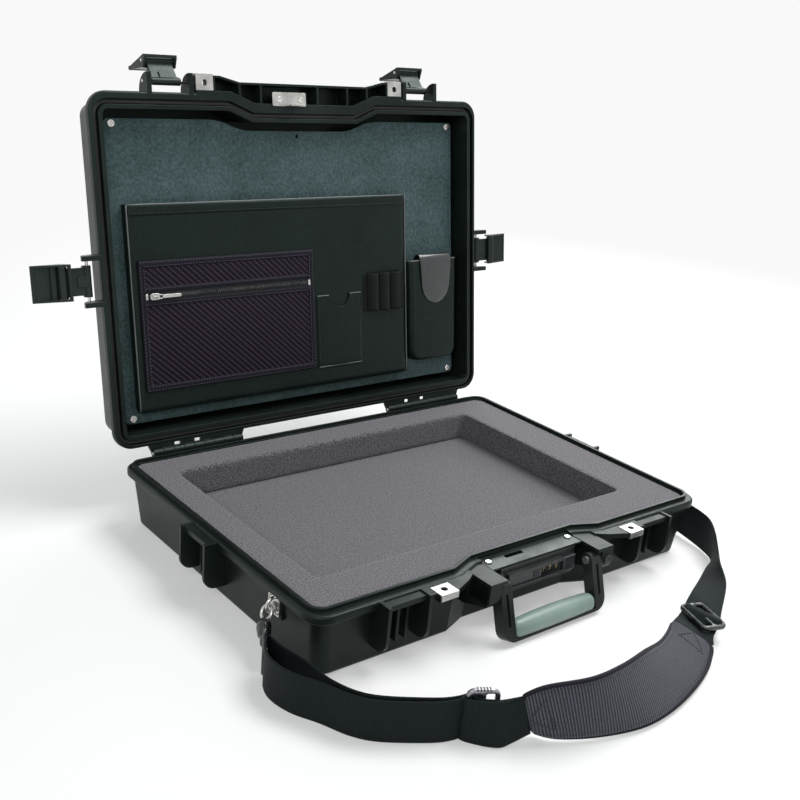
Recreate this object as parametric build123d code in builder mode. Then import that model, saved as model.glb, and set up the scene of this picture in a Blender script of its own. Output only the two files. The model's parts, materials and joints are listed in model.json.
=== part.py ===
"""Laptop hard case: hinged lid, four latches, handle, lock, lid organiser, shoulder strap.

Millimetres. X runs along the case, Y from its front to its hinge, Z up from the floor.
The base lies shut side up on the floor, the lid stands open on its stop.
Lid pieces are drawn in the axes of the closed case and carried open by lid_frame.
"""
from build123d import *
from math import atan, cos, radians, sin, tan
import os

os.makedirs("parts", exist_ok=True)

# ---- Case envelope ----
case_length = 510.0
case_depth = 365.6
base_height = 66.0
lid_height = 58.0
rim_corner = 20.0
wall = 4.4
floor_thickness = 4.0
base_band = 9.0
lid_band = 10.0
wall_step = 6.5
side_draft = 6.5
front_draft = 4.0
bottom_round = 5.0
band_round = 2.5
lid_top_round = 9.0

# ---- Front notch of the rim ----
notch_outer = 95.0
notch_inner = 66.0
notch_depth = 11.5
notch_round = 8.0

# ---- Rim seal ----
cavity_side = 9.0
cavity_front = 12.3
cavity_rear = 8.8
tongue_gap = 0.6
tongue_width = 3.0
tongue_height = 3.5
groove_clearance = 1.2
groove_depth = 6.0
gasket_height = 2.0
lip_width = 5.0

# ---- Fits ----
running_clearance = 0.05
loose_clearance = 0.3
foam_clearance = 0.4

# ---- Foam ----
foam_drop = 0.3
foam_frame_depth = 33.0
recess_length = 401.0
recess_depth = 258.0
recess_x = -10.9
recess_y = 8.3
recess_corner = 4.0

# ---- Hinge ----
hinge_offset = 8.7
open_angle = 99.4
knuckle_radius = 4.5
knuckle_gap = 0.4
knuckles_per_group = 9
hinge_groups = ((-214.0, -104.0), (107.0, 221.0))
hinge_pin_radius = 1.6
hinge_window = 8.0

# ---- Latches ----
front_latch_x = 165.0
side_latch_y = 3.0
fin_half_gap = 21.0
base_fin_thickness = 3.5
base_fin_reach = 13.4
base_fin_foot = 18.0
base_fin_round = 13.0
fin_top_drop = 0.6
lid_fin_thickness = 5.0
lid_fin_reach = 19.5
latch_pin_radius = 1.6
latch_pin_out = 11.0
latch_pin_rise = 11.0
link_length = 26.0
link_half_width = 16.0
link_knuckle = 4.0
lever_half_width = 18.5
cheek_thickness = 2.1
lever_reach = 28.0
lever_plate_in = 4.5
lever_plate_thickness = 2.8
lever_plate_top = -2.5
nose_inner = 5.5
nose_outer = 2.5
nose_low = 4.6
nose_high = 7.6
ledge_reach = 9.0
ledge_top_drop = 2.0
front_link_angle = 125.0
front_lever_angle = 55.0
side_link_angle = 90.0
side_lever_angle = 0.0

# ---- Padlock eyes ----
padlock_x = 125.8
padlock_y = -193.3
padlock_width = 20.0
padlock_depth = 15.0
padlock_hole = 3.3
padlock_plate = 1.6
padlock_lip = 5.0
boss_height = 8.0

# ---- Front boxes ----
box_height = 22.0
box_wall = 2.4
box_dividers = (-84.0, -58.0, 16.0, 57.0, 85.0)
shelf_thickness = 5.0

# ---- Ears and handle ----
ear_inner = 61.0
ear_outer = 82.5
ear_front = -208.5
ear_back = -170.0
ear_top = 63.8
ear_bottom = 38.0
ear_plate = 3.6
handle_inner = 54.0
handle_outer = 68.0
handle_pivot_y = -201.0
handle_pivot_z = 51.5
handle_lean = 18.0
handle_radius = 41.0
arm_half_depth = 6.5
arm_groove = 2.0
grip_half_height = 10.5
grip_half_depth = 9.5
grip_end_round = 2.2
bolt_radius = 2.5
bolt_head_radius = 4.0
bolt_head_height = 1.8

# ---- Bezel and lock ----
bezel_half_length = 60.0
bezel_front = -186.0
bezel_top = 63.5
bezel_thickness = 2.2
bezel_screw_x = 53.6
bezel_screw_y = -172.5
slot_x = -20.3
slot_y = -172.0
slot_length = 23.0
slot_width = 5.4
lock_half_length = 49.5
lock_bottom = 33.0
lock_face = -187.0
lock_back = -165.4
dial_radius = 6.2
dial_width = 6.0
dial_pitch = 8.7
dial_first_x = 8.0
dial_z = 47.0
dial_proud = 0.8
dial_axle_radius = 1.2
cover_left = -41.0
cover_right = 2.0
cover_low = 40.5
cover_high = 53.5
cover_thickness = 2.0
button_x = 41.5
button_z = 46.0
button_size = 16.0
button_proud = 3.5
button_travel = 2.5
button_length = 11.0

# ---- Hasp ----
hasp_left = -44.6
hasp_right = -1.2
hasp_front = -186.0
hasp_back = -171.6
hasp_plate = 1.5
hasp_tongue_length = 17.0
hasp_tongue_thickness = 2.0
hasp_tongue_drop = 14.0
hasp_screws = (-35.5, -7.5)

# ---- Liner and organiser, in the closed case's axes ----
liner_depth = 21.0
liner_thickness = 2.5
liner_clearance = 0.6
liner_screw_x = 223.8
liner_screw_y = 154.0
liner_screw_shift = 1.6
liner_screw_radius = 1.8
liner_screw_head = 4.0
liner_screw_head_height = 1.3
file_left = -219.0
file_right = 148.0
file_top = -71.0
file_bottom = 149.0
file_thickness = 10.0
leather = 1.8
zip_left = -211.0
zip_right = 7.0
zip_top = -13.0
zip_bottom = 126.0
zip_thickness = 3.2
zip_line = 24.4
zip_track_half = 4.0
zip_track_thickness = 0.9
zip_slider_length = 12.0
zip_slider_width = 7.0
zip_slider_height = 2.2
zip_pull_length = 30.0
card_left = 12.0
card_right = 76.0
card_top = 42.0
card_bottom = 127.5
card_thickness = 1.6
card_cut = 15.0
pen_left = 86.0
pen_right = 137.0
pen_top = 21.0
pen_bottom = 66.0
pen_count = 3
pen_height = 8.0
pen_band = 1.0
holster_left = 151.0
holster_right = 227.0
holster_top = 10.0
holster_bottom = 136.0
holster_thickness = 15.5
holster_wall = 2.2
flap_left = 166.0
flap_right = 216.0
flap_thickness = 2.0
flap_end = 64.0
flap_rise = 7.0

# ---- Strap ----
web_width = 38.0
web_thickness = 1.6
anchor_y = -112.0
anchor_z = 45.0
anchor_boss = 22.0
anchor_out = 248.8
anchor_plate = 18.0
anchor_plate_thickness = 1.6
staple_radius = 7.0
staple_wire = 1.5
hook_ring_radius = 6.5
hook_ring_wire = 1.6
hook_ring_out = 3.2
hook_ring_tilt = 30.0
barrel_radius = 7.5
web_loop_x = 279.0
web_loop_y = -144.0
web_loop_wire = 1.7
web_loop_low = 0.4
web_loop_span = 9.0
web_loop_slack = 1.0
barrel_neck_radius = 3.4
barrel_start = 0.15
barrel_end = 0.6
barrel_swivel = 0.87
slider_bar = 2.0
slider_length = 50.0
slider_span = 28.0
pad_thickness = 7.0

# ---- Small fastenings and details ----
flute_width = 3.0
ear_round = 8.0
bolt_depth = 9.0
vent_x = 76.5
vent_z = 50.0
vent_radius = 5.0
vent_proud = 1.6
vent_depth = 5.0
vent_slot = 1.4
bezel_screw_radius = 1.6
bezel_screw_length = 10.0
bezel_screw_head = 3.4
bezel_screw_head_height = 1.4
bezel_boss = 4.0
anchor_screw_radius = 1.4
anchor_screw_span = 11.0
anchor_screw_depth = 5.0
anchor_screw_head = 2.2
anchor_screw_head_height = 1.0
rim_step_y = -171.8
rail_thickness = 1.8
dial_count = 3
dial_positions = 10
dial_notch = 0.55
axle_left = 2.0
axle_right = 31.0
spring_radius = 3.0
spring_back = -170.0
arm_top = 6.9
arm_groove_width = 3.0
handle_corner = 13.0
strip_thickness = 3.0
core_half_depth = 4.6
box_flat = 84.0
box_front = -195.0
box_round = 6.0
hinge_taper = 5.0
liner_post = 5.0
liner_screw_length = 9.0
liner_hole_y = 142.5
hasp_screw_y = -178.0
hasp_screw_radius = 1.8
hasp_screw_length = 9.0
hasp_screw_head = 3.6
hasp_screw_head_height = 0.6
hasp_post = 4.2
hasp_corner = 1.5
link_plate_in = 1.5
link_plate_out = 2.5
link_waist = 2.0
link_pad = 11.0
link_pad_drop = 6.0
link_pad_rise = 1.4
cheek_top = 3.5
cheek_back = 3.0
lever_bar_depth = 2.6
lever_bar_z = -8.5
lever_bar_height = 5.0
lever_lip = 2.2
zip_pull_width = 4.0
zip_pull_thickness = 0.9
pen_round = 3.0
holster_round = 4.0

# ---- Course of the strap: low and high edge of the band at each station ----
left_web = (
    ((-278.5, -146.5, 4.2), (-278.5, -146.5, 42.2)),
    ((-288.0, -160.0, 2.5), (-288.0, -160.0, 40.5)),
    ((-291.5, -176.0, 0.6), (-291.5, -176.0, 38.6)),
    ((-287.6, -199.5, 0.3), (-287.6, -199.5, 38.3)),
    ((-275.0, -224.0, 0.3), (-275.0, -224.0, 38.3)),
    ((-263.6, -250.0, 0.3), (-263.6, -250.0, 38.3)),
    ((-248.0, -268.5, 0.3), (-248.0, -268.5, 38.3)),
    ((-215.0, -291.0, 0.3), (-215.0, -291.0, 38.3)),
    ((-190.0, -304.0, 0.8), (-190.0, -304.0, 38.8)),
    ((-165.0, -318.0, 1.5), (-167.0, -318.3, 39.5)),
    ((-139.4, -326.8, 6.6), (-153.9, -327.0, 41.7)),
)
left_return = (
    ((-276.6, -146.6, 4.2), (-276.6, -146.6, 42.2)),
    ((-275.0, -165.0, 2.5), (-275.0, -165.0, 40.5)),
    ((-270.0, -182.0, 1.0), (-270.0, -182.0, 39.0)),
    ((-268.0, -200.0, 0.5), (-268.0, -200.0, 38.5)),
    ((-266.5, -222.0, 0.4), (-266.5, -222.0, 38.4)),
    ((-258.5, -246.0, 0.4), (-258.5, -246.0, 38.4)),
    ((-244.0, -263.5, 0.4), (-244.0, -263.5, 38.4)),
    ((-212.0, -286.0, 0.4), (-212.0, -286.0, 38.4)),
    ((-187.5, -298.6, 0.8), (-187.5, -298.6, 38.8)),
)
pad_stations = (
    ((-138.2, -327.1, 4.5), (-154.5, -327.3, 44.0)),
    ((-125.6, -343.8, 4.5), (-140.1, -336.7, 53.0)),
    ((-93.7, -360.8, 4.5), (-104.8, -352.5, 57.5)),
    ((-54.8, -371.8, 4.5), (-68.0, -352.5, 57.0)),
    ((-18.7, -371.5, 4.5), (-27.0, -343.0, 52.0)),
    ((24.5, -362.5, 4.5), (19.0, -324.5, 35.0)),
    ((66.8, -347.4, 4.5), (57.5, -305.5, 22.0)),
    ((100.0, -328.7, 9.0), (84.5, -291.0, 18.0)),
)
right_web = (
    ((84.9, -290.8, 18.0), (100.4, -328.5, 9.0)),
    ((112.0, -280.0, 13.4), (118.0, -317.5, 11.5)),
    ((134.0, -269.0, 12.8), (138.0, -306.5, 12.0)),
    ((153.3, -261.0, 16.0), (151.0, -299.0, 13.5)),
    ((188.4, -244.4, 12.0), (188.0, -275.5, 24.0)),
    ((227.6, -225.1, 7.0), (210.0, -250.5, 30.5)),
    ((251.3, -214.3, 3.0), (232.0, -231.8, 30.5)),
    ((262.6, -204.0, 1.5), (253.0, -210.5, 37.5)),
    ((271.5, -184.6, 1.5), (272.0, -188.9, 39.0)),
    ((275.8, -165.2, 3.0), (278.0, -168.9, 40.5)),
    ((279.0, -146.1, 4.2), (279.0, -146.1, 42.2)),
)
left_slider_at = ((-171.5, -309.5, 26.0), (0.86, -0.51, 0.0), (0.0, 0.0, 1.0))
right_slider_at = ((123.0, -297.5, 17.0), (-0.945, 0.33, 0.0), (-0.33, -0.945, 0.0))

# ---- Worked out from the above ----
half_length = case_length / 2
half_depth = case_depth / 2
ramp_shift = tan(atan(notch_depth / (notch_outer - notch_inner)) / 2)
case_top = base_height + lid_height
hinge_y = half_depth + hinge_offset
hinge_z = base_height
foam_top = base_height - foam_drop
liner_z = base_height + liner_depth
pocket_z = liner_z - file_thickness
liner_screw_points = [
    (x, liner_screw_shift + y)
    for x in (-liner_screw_x, liner_screw_x)
    for y in (-liner_screw_y, liner_screw_y)
]

turn_cos = cos(radians(open_angle))
turn_sin = sin(radians(open_angle))
lid_origin = (
    0,
    hinge_y - hinge_y * turn_cos - hinge_z * turn_sin,
    hinge_z + hinge_y * turn_sin - hinge_z * turn_cos,
)
lid_frame = Plane(origin=lid_origin, x_dir=(1, 0, 0), z_dir=(0, turn_sin, turn_cos))


def inside(frame, plane):
    """A plane that is given in a frame's own axes."""
    return Plane(frame.location * plane.location)


def in_lid(plane):
    """A plane given in the closed case's axes, carried with the open lid."""
    return inside(lid_frame, plane)


def turned(frame, out, up, angle):
    """A frame moved to a pivot and swung open about its own Y axis."""
    return Plane(frame.location * Location((out, 0, up)) * Location((0, 0, 0), (0, -angle, 0)))


def save(builder, name):
    """Label a finished piece and write it as its own node."""
    builder.part.label = name
    export_step(builder.part, f"parts/{name}.step")


def outline(side, front, rear, corner):
    """Plan outline of the case, set in from the rim on each side."""
    x = half_length - side
    y_front = front - half_depth
    y_rear = half_depth - rear
    shift = front * ramp_shift
    points = [
        (-x, y_front),
        (-notch_outer - shift, y_front),
        (-notch_inner - shift, y_front + notch_depth),
        (notch_inner + shift, y_front + notch_depth),
        (notch_outer + shift, y_front),
        (x, y_front),
        (x, y_rear),
        (-x, y_rear),
    ]
    with BuildSketch() as plan:
        with BuildLine():
            Polyline(*points, close=True)
        make_face()
        outer = plan.vertices().filter_by(lambda v: abs(v.X) > x - 1)
        inner = plan.vertices().filter_by(lambda v: abs(v.X) < x - 1)
        fillet(outer, corner)
        fillet(inner, notch_round)
    return plan.sketch


def even_outline(inset):
    """Plan outline set in from the rim by the same amount all round."""
    return outline(inset, inset, inset, rim_corner - inset)


def cavity_outline(extra=0.0):
    """Mouth of the base's cavity, set in by a further amount."""
    corner = rim_corner - cavity_side - extra
    return outline(cavity_side + extra, cavity_front + extra, cavity_rear + extra, corner)


def inner_profile(extra=0.0):
    """Base cavity at its floor, set in by a further amount."""
    side = wall_step + side_draft + wall + extra
    front = wall_step + front_draft + wall + extra
    return outline(side, max(front, cavity_front + extra), front, 6.0)


def latch_frames(closed_frame):
    """Frames of the four latches: X out of the rim, Y along it, Z up."""
    places = {
        "front_left": ((-front_latch_x, -half_depth, base_height), (0, -1, 0)),
        "front_right": ((front_latch_x, -half_depth, base_height), (0, -1, 0)),
        "left": ((-half_length, side_latch_y, base_height), (-1, 0, 0)),
        "right": ((half_length, side_latch_y, base_height), (1, 0, 0)),
    }
    return {
        name: inside(closed_frame, Plane(origin=origin, x_dir=out, z_dir=(0, 0, 1)))
        for name, (origin, out) in places.items()
    }


def knuckle_spans(group, first):
    """X ranges of every second knuckle in one hinge group."""
    low, high = group
    pitch = (high - low) / knuckles_per_group
    return [
        (low + i * pitch + knuckle_gap / 2, low + (i + 1) * pitch - knuckle_gap / 2)
        for i in range(first, knuckles_per_group, 2)
    ]


base_latches = latch_frames(Plane.XY)
lid_latches = latch_frames(lid_frame)

# ---- Base shell ----
fin_wall_in = -(wall_step + side_draft)
ledge_under = latch_pin_rise - link_length + nose_high + loose_clearance
rebate_y = cavity_front - tongue_gap - tongue_width - half_depth + notch_depth - loose_clearance
bezel_floor = bezel_top - bezel_thickness
eye_front = padlock_y - padlock_depth / 2
shelf_z = base_height - fin_top_drop
ear_lug = handle_outer + loose_clearance
ear_wall = ear_lug + 4.0


def fin_profile(reach, top, foot, radius):
    """Side view of a latch fin: out along X, up along Y, with a rounded foot."""
    with BuildSketch() as profile:
        with BuildLine():
            Polyline((reach, foot + radius), (reach, top), (fin_wall_in, top),
                     (fin_wall_in, foot), (reach - radius, foot))
            CenterArc((reach - radius, foot + radius), radius, -90, 90)
        make_face()
    return profile.sketch


def block(x_range, y_range, z_range, mode=Mode.ADD):
    """A rectangular block between two corners, in the builder's own axes."""
    middle = [(low + high) / 2 for low, high in (x_range, y_range, z_range)]
    size = [abs(high - low) for low, high in (x_range, y_range, z_range)]
    with Locations(tuple(middle)):
        Box(*size, mode=mode)


def seal_ring(inner, outer):
    """Plan ring that follows the cavity's mouth between two outward offsets."""
    with BuildSketch() as ring:
        add(cavity_outline(-outer))
        add(cavity_outline(-inner), mode=Mode.SUBTRACT)
    return ring.sketch


def rounded_band(height, bottom):
    """Solid band of the rim, with its outer corners rounded."""
    with BuildPart() as band:
        with BuildSketch(Plane.XY.offset(bottom)):
            add(even_outline(0))
        extrude(amount=height)
        rims = band.faces().sort_by(Axis.Z)
        fillet(rims[0].edges() + rims[-1].edges(), band_round)
    return band.part


base_band_solid = rounded_band(base_band, base_height - base_band)

with BuildPart() as base_tub:
    with BuildSketch():
        add(outline(wall_step + side_draft, wall_step + front_draft,
                    wall_step + front_draft, rim_corner - wall_step))
    with BuildSketch(Plane.XY.offset(base_height - base_band + 1)):
        add(even_outline(wall_step))
    loft()
    fillet(base_tub.faces().sort_by(Axis.Z)[0].edges(), bottom_round)
    add(base_band_solid)

with BuildPart() as base_moulding:
    add(base_tub.part)
    # Front shelf from the inner latch fins past the padlock eyes to the ears.
    with BuildSketch(Plane.XY.offset(shelf_z - shelf_thickness)):
        for side in (-1, 1):
            with BuildLine():
                fin_x = side * (front_latch_x - fin_half_gap)
                eye_out = side * (padlock_x + padlock_width / 2)
                eye_in = side * (padlock_x - padlock_width / 2)
                Polyline(
                    (fin_x, -half_depth + base_band),
                    (fin_x, -half_depth - base_fin_reach),
                    (eye_out, -half_depth - base_fin_reach),
                    (eye_out, eye_front),
                    (eye_in, eye_front),
                    (side * notch_outer, -half_depth - base_band),
                    (side * ear_outer, -half_depth - 1),
                    (side * ear_outer, -half_depth + base_band),
                    close=True,
                )
            make_face()
    extrude(amount=shelf_thickness)
    for side in (-1, 1):
        block((side * (padlock_x - padlock_width / 2), side * (padlock_x + padlock_width / 2)),
              (-half_depth + base_band, eye_front), (base_height - boss_height, shelf_z))
    # Latch fins and the catch ledge between them.
    for frame in base_latches.values():
        for side in (-1, 1):
            near = side * fin_half_gap
            with BuildSketch(inside(frame, Plane.XZ.offset(-near))):
                add(fin_profile(base_fin_reach, -fin_top_drop,
                                base_fin_foot - base_height, base_fin_round))
            extrude(amount=-side * base_fin_thickness)
        with BuildSketch(inside(frame, Plane.XY.offset(-ledge_top_drop))):
            with Locations(((ledge_reach + fin_wall_in) / 2, 0)):
                Rectangle(ledge_reach - fin_wall_in, 2 * fin_half_gap)
        extrude(amount=ledge_under + ledge_top_drop)
        # Flutes on the wall behind the lever.
        for along in (-fin_half_gap / 2, 0, fin_half_gap / 2):
            with BuildSketch(inside(frame, Plane.XY.offset(base_fin_foot - base_height))):
                with Locations((fin_wall_in / 2, along)):
                    Rectangle(-fin_wall_in - 4, flute_width)
            extrude(amount=ledge_under - base_fin_foot + base_height)
    # Ears that carry the handle: a hood over the arm and a lug beside it.
    for side in (-1, 1):
        block((side * ear_inner, side * ear_outer), (ear_front, ear_back),
              (ear_top - ear_plate, ear_top))
        with BuildSketch(Plane.YZ.offset(side * ear_lug)):
            with BuildLine():
                Polyline((ear_front, ear_bottom + ear_round), (ear_front, ear_top),
                         (ear_back + base_band, ear_top),
                         (ear_back + base_band, ear_bottom - ear_round),
                         (ear_back - base_band / 2, ear_bottom - ear_round),
                         (ear_front + ear_round, ear_bottom))
                CenterArc((ear_front + ear_round, ear_bottom + ear_round), ear_round, -180, 90)
            make_face()
        extrude(amount=side * (ear_outer - ear_lug))
        # Bosses that carry the strap anchors.
        block((side * anchor_out, side * (anchor_out - 8)),
              (anchor_y - anchor_boss / 2, anchor_y + anchor_boss / 2),
              (anchor_z - anchor_boss / 2, anchor_z + anchor_boss / 2))
    # Hinge web and the base's knuckles.
    for group in hinge_groups:
        for low, high in knuckle_spans(group, 0):
            block((low, high), (half_depth - band_round - 1, hinge_y),
                  (hinge_z - knuckle_radius, hinge_z - hinge_pin_radius))
            with BuildSketch(Plane.YZ.offset(low)):
                with Locations((hinge_y, hinge_z)):
                    Circle(knuckle_radius)
            extrude(amount=high - low)
    # Bosses under the bezel's screws.
    for x in (-bezel_screw_x, bezel_screw_x):
        block((x - bezel_boss, x + bezel_boss),
              (bezel_screw_y - bezel_boss, -half_depth + notch_depth + wall_step + 2),
              (base_height - 2 * boss_height, bezel_floor))
    # Cavity, with the walls' own draft.
    with BuildSketch(Plane.XY.offset(floor_thickness)):
        add(inner_profile())
    with BuildSketch(Plane.XY.offset(base_height)):
        add(cavity_outline())
    loft(mode=Mode.SUBTRACT)
    # Raised tongue of the seal.
    with BuildSketch(Plane.XY.offset(base_height - 2)):
        add(seal_ring(tongue_gap, tongue_gap + tongue_width))
    extrude(amount=tongue_height + 2)
    # Rebate for the bezel, slot for the hasp.
    rebate = bezel_half_length + loose_clearance
    block((-rebate, rebate), (rebate_y, ear_front), (bezel_floor, base_height + 1), Mode.SUBTRACT)
    block((slot_x - slot_length / 2, slot_x + slot_length / 2),
          (slot_y - slot_width / 2, slot_y + slot_width / 2),
          (base_height - hasp_tongue_drop - 6, base_height), Mode.SUBTRACT)
    for x in (-bezel_screw_x, bezel_screw_x):
        with Locations((x, bezel_screw_y, bezel_floor)):
            Cylinder(bezel_screw_radius + running_clearance, 2 * bezel_screw_length,
                     mode=Mode.SUBTRACT)
    for side in (-1, 1):
        # Seats of the padlock plates and their through holes.
        plate_x = (side * (padlock_x - padlock_width / 2), side * (padlock_x + padlock_width / 2))
        block(plate_x, (padlock_y + padlock_depth / 2, eye_front - 1),
              (base_height - padlock_plate, base_height), Mode.SUBTRACT)
        with Locations((side * padlock_x, padlock_y, base_height)):
            Cylinder(padlock_hole, 4 * boss_height, mode=Mode.SUBTRACT)
        # Bores for the handle's pivot bolts.
        with BuildSketch(Plane.YZ.offset(side * (handle_outer - 1))):
            with Locations((handle_pivot_y, handle_pivot_z)):
                Circle(bolt_radius + running_clearance)
        extrude(amount=side * bolt_depth, mode=Mode.SUBTRACT)
        # Screws of the strap anchors.
        for shift in (-anchor_screw_span / 2, anchor_screw_span / 2):
            with BuildSketch(Plane.YZ.offset(side * (anchor_out + 1))):
                with Locations((anchor_y + shift, anchor_z + shift)):
                    Circle(anchor_screw_radius + running_clearance)
            extrude(amount=-side * (anchor_screw_depth + 1), mode=Mode.SUBTRACT)
    # Scoop in the left ear, seat of the vent knob in the right one.
    block((-ear_wall, -ear_outer - 1), (ear_front + 3, ear_back - 10),
          (ear_bottom + 4, ear_top - ear_plate), Mode.SUBTRACT)
    with BuildSketch(Plane.XZ.offset(-ear_front)):
        with Locations((vent_x, vent_z)):
            Circle(vent_radius + loose_clearance)
    extrude(amount=-vent_depth, mode=Mode.SUBTRACT)
    # Bores for the hinge pins, and clearance round the lid's knuckles.
    for group in hinge_groups:
        with BuildSketch(Plane.YZ.offset(group[0] - 1)):
            with Locations((hinge_y, hinge_z)):
                Circle(hinge_pin_radius + running_clearance)
        extrude(amount=group[1] - group[0] + 2, mode=Mode.SUBTRACT)

# The one moulding is kept as its tub and, apart, what stands out from the tub's walls.
with BuildPart() as tub_space:
    add(base_tub.part)
    with BuildSketch(Plane.XY.offset(base_height - 2)):
        add(even_outline(tongue_gap / 2))
    extrude(amount=tongue_height + 3)

with BuildPart() as base_shell:
    add(base_moulding.part)
    add(tub_space.part, mode=Mode.INTERSECT)
save(base_shell, "base_shell")

with BuildPart() as base_fins:
    add(base_moulding.part)
    add(tub_space.part, mode=Mode.SUBTRACT)
save(base_fins, "base_fins")

# ---- Foam ----
foam_split = base_height - foam_frame_depth


def cavity_section(z, extra):
    """Blend between the cavity's floor outline and its mouth, at a height."""
    share = (z - floor_thickness) / (base_height - floor_thickness)
    side_floor = wall_step + side_draft + wall
    front_floor = wall_step + front_draft + wall
    side = side_floor + (cavity_side - side_floor) * share + extra
    front = max(front_floor, cavity_front)
    front = front + (cavity_front - front) * share + extra
    rear = front_floor + (cavity_rear - front_floor) * share + extra
    return outline(side, front, rear, max(6.0, rim_corner - side))


with BuildPart() as foam_pad:
    with BuildSketch(Plane.XY.offset(floor_thickness)):
        add(cavity_section(floor_thickness, 2 * foam_clearance))
    with BuildSketch(Plane.XY.offset(foam_split)):
        add(cavity_section(foam_split, 2 * foam_clearance))
    loft()
save(foam_pad, "foam_pad")

with BuildPart() as foam_frame:
    with BuildSketch(Plane.XY.offset(foam_split)):
        add(cavity_section(foam_split, 2 * foam_clearance))
    with BuildSketch(Plane.XY.offset(foam_top)):
        add(cavity_section(foam_top, foam_clearance))
    loft()
    with BuildSketch(Plane.XY.offset(foam_split)):
        with Locations((recess_x, recess_y)):
            RectangleRounded(recess_length, recess_depth, recess_corner)
    extrude(amount=foam_frame_depth, mode=Mode.SUBTRACT)
save(foam_frame, "foam_frame")

# ---- Base fittings ----
with BuildPart() as base_padlock_plates:
    for side in (-1, 1):
        edge_x = (side * (padlock_x - padlock_width / 2), side * (padlock_x + padlock_width / 2))
        block(edge_x, (padlock_y + padlock_depth / 2 - running_clearance, eye_front),
              (base_height - padlock_plate, base_height - running_clearance))
        block(edge_x, (eye_front, eye_front - padlock_plate),
              (base_height - padlock_plate - padlock_lip, base_height - running_clearance))
        with Locations((side * padlock_x, padlock_y, base_height)):
            Cylinder(padlock_hole, 2 * boss_height, mode=Mode.SUBTRACT)
save(base_padlock_plates, "base_padlock_plates")

with BuildPart() as hinge_pins:
    for low, high in hinge_groups:
        with BuildSketch(Plane.YZ.offset(low)):
            with Locations((hinge_y, hinge_z)):
                Circle(hinge_pin_radius)
        extrude(amount=high - low)
save(hinge_pins, "hinge_pins")

with BuildPart() as vent_knob:
    with BuildSketch(Plane.XZ.offset(-ear_front + vent_proud)):
        with Locations((vent_x, vent_z)):
            Circle(vent_radius)
    extrude(amount=-vent_proud - vent_depth)
    with BuildSketch(Plane.XZ.offset(-ear_front + vent_proud)):
        with Locations((vent_x, vent_z)):
            Rectangle(1.5 * vent_radius, vent_slot)
    extrude(amount=-vent_proud / 2, mode=Mode.SUBTRACT)
save(vent_knob, "vent_knob")

with BuildPart() as bezel_plate:
    bezel_ends = bezel_half_length
    block((-bezel_ends, bezel_ends), (rebate_y - running_clearance, bezel_front),
          (bezel_floor, bezel_top))
    block((slot_x - slot_length / 2, slot_x + slot_length / 2),
          (slot_y - slot_width / 2, slot_y + slot_width / 2),
          (bezel_floor - 1, bezel_top + 1), Mode.SUBTRACT)
    for x in (-bezel_screw_x, bezel_screw_x):
        with Locations((x, bezel_screw_y, bezel_floor)):
            Cylinder(bezel_screw_radius + running_clearance, 4 * bezel_thickness,
                     mode=Mode.SUBTRACT)
save(bezel_plate, "bezel_plate")


def screw(position, up, shank_radius, shank_length, head_radius, head_height):
    """A pan head screw; position is the seat of its head, up points out of the head."""
    with BuildPart(Plane(origin=position, z_dir=up)) as made:
        Cylinder(shank_radius, shank_length, align=(Align.CENTER, Align.CENTER, Align.MAX))
        Cylinder(head_radius, head_height, align=(Align.CENTER, Align.CENTER, Align.MIN))
        fillet(made.edges().filter_by(GeomType.CIRCLE).sort_by(Axis(position, up))[-1],
               head_height / 2)
        with Locations((0, 0, head_height)):
            Box(1.4 * head_radius, head_radius / 4, head_height, mode=Mode.SUBTRACT)
            Box(head_radius / 4, 1.4 * head_radius, head_height, mode=Mode.SUBTRACT)
    return made.part


with BuildPart() as bezel_screws:
    for x in (-bezel_screw_x, bezel_screw_x):
        add(screw((x, bezel_screw_y, bezel_top), (0, 0, 1), bezel_screw_radius,
                  bezel_screw_length, bezel_screw_head, bezel_screw_head_height))
save(bezel_screws, "bezel_screws")

# ---- Lock ----
cover_back = lock_face - 1.6
cover_front = cover_back - cover_thickness
rail_end = button_x - button_size / 2 - 2.5

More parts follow.
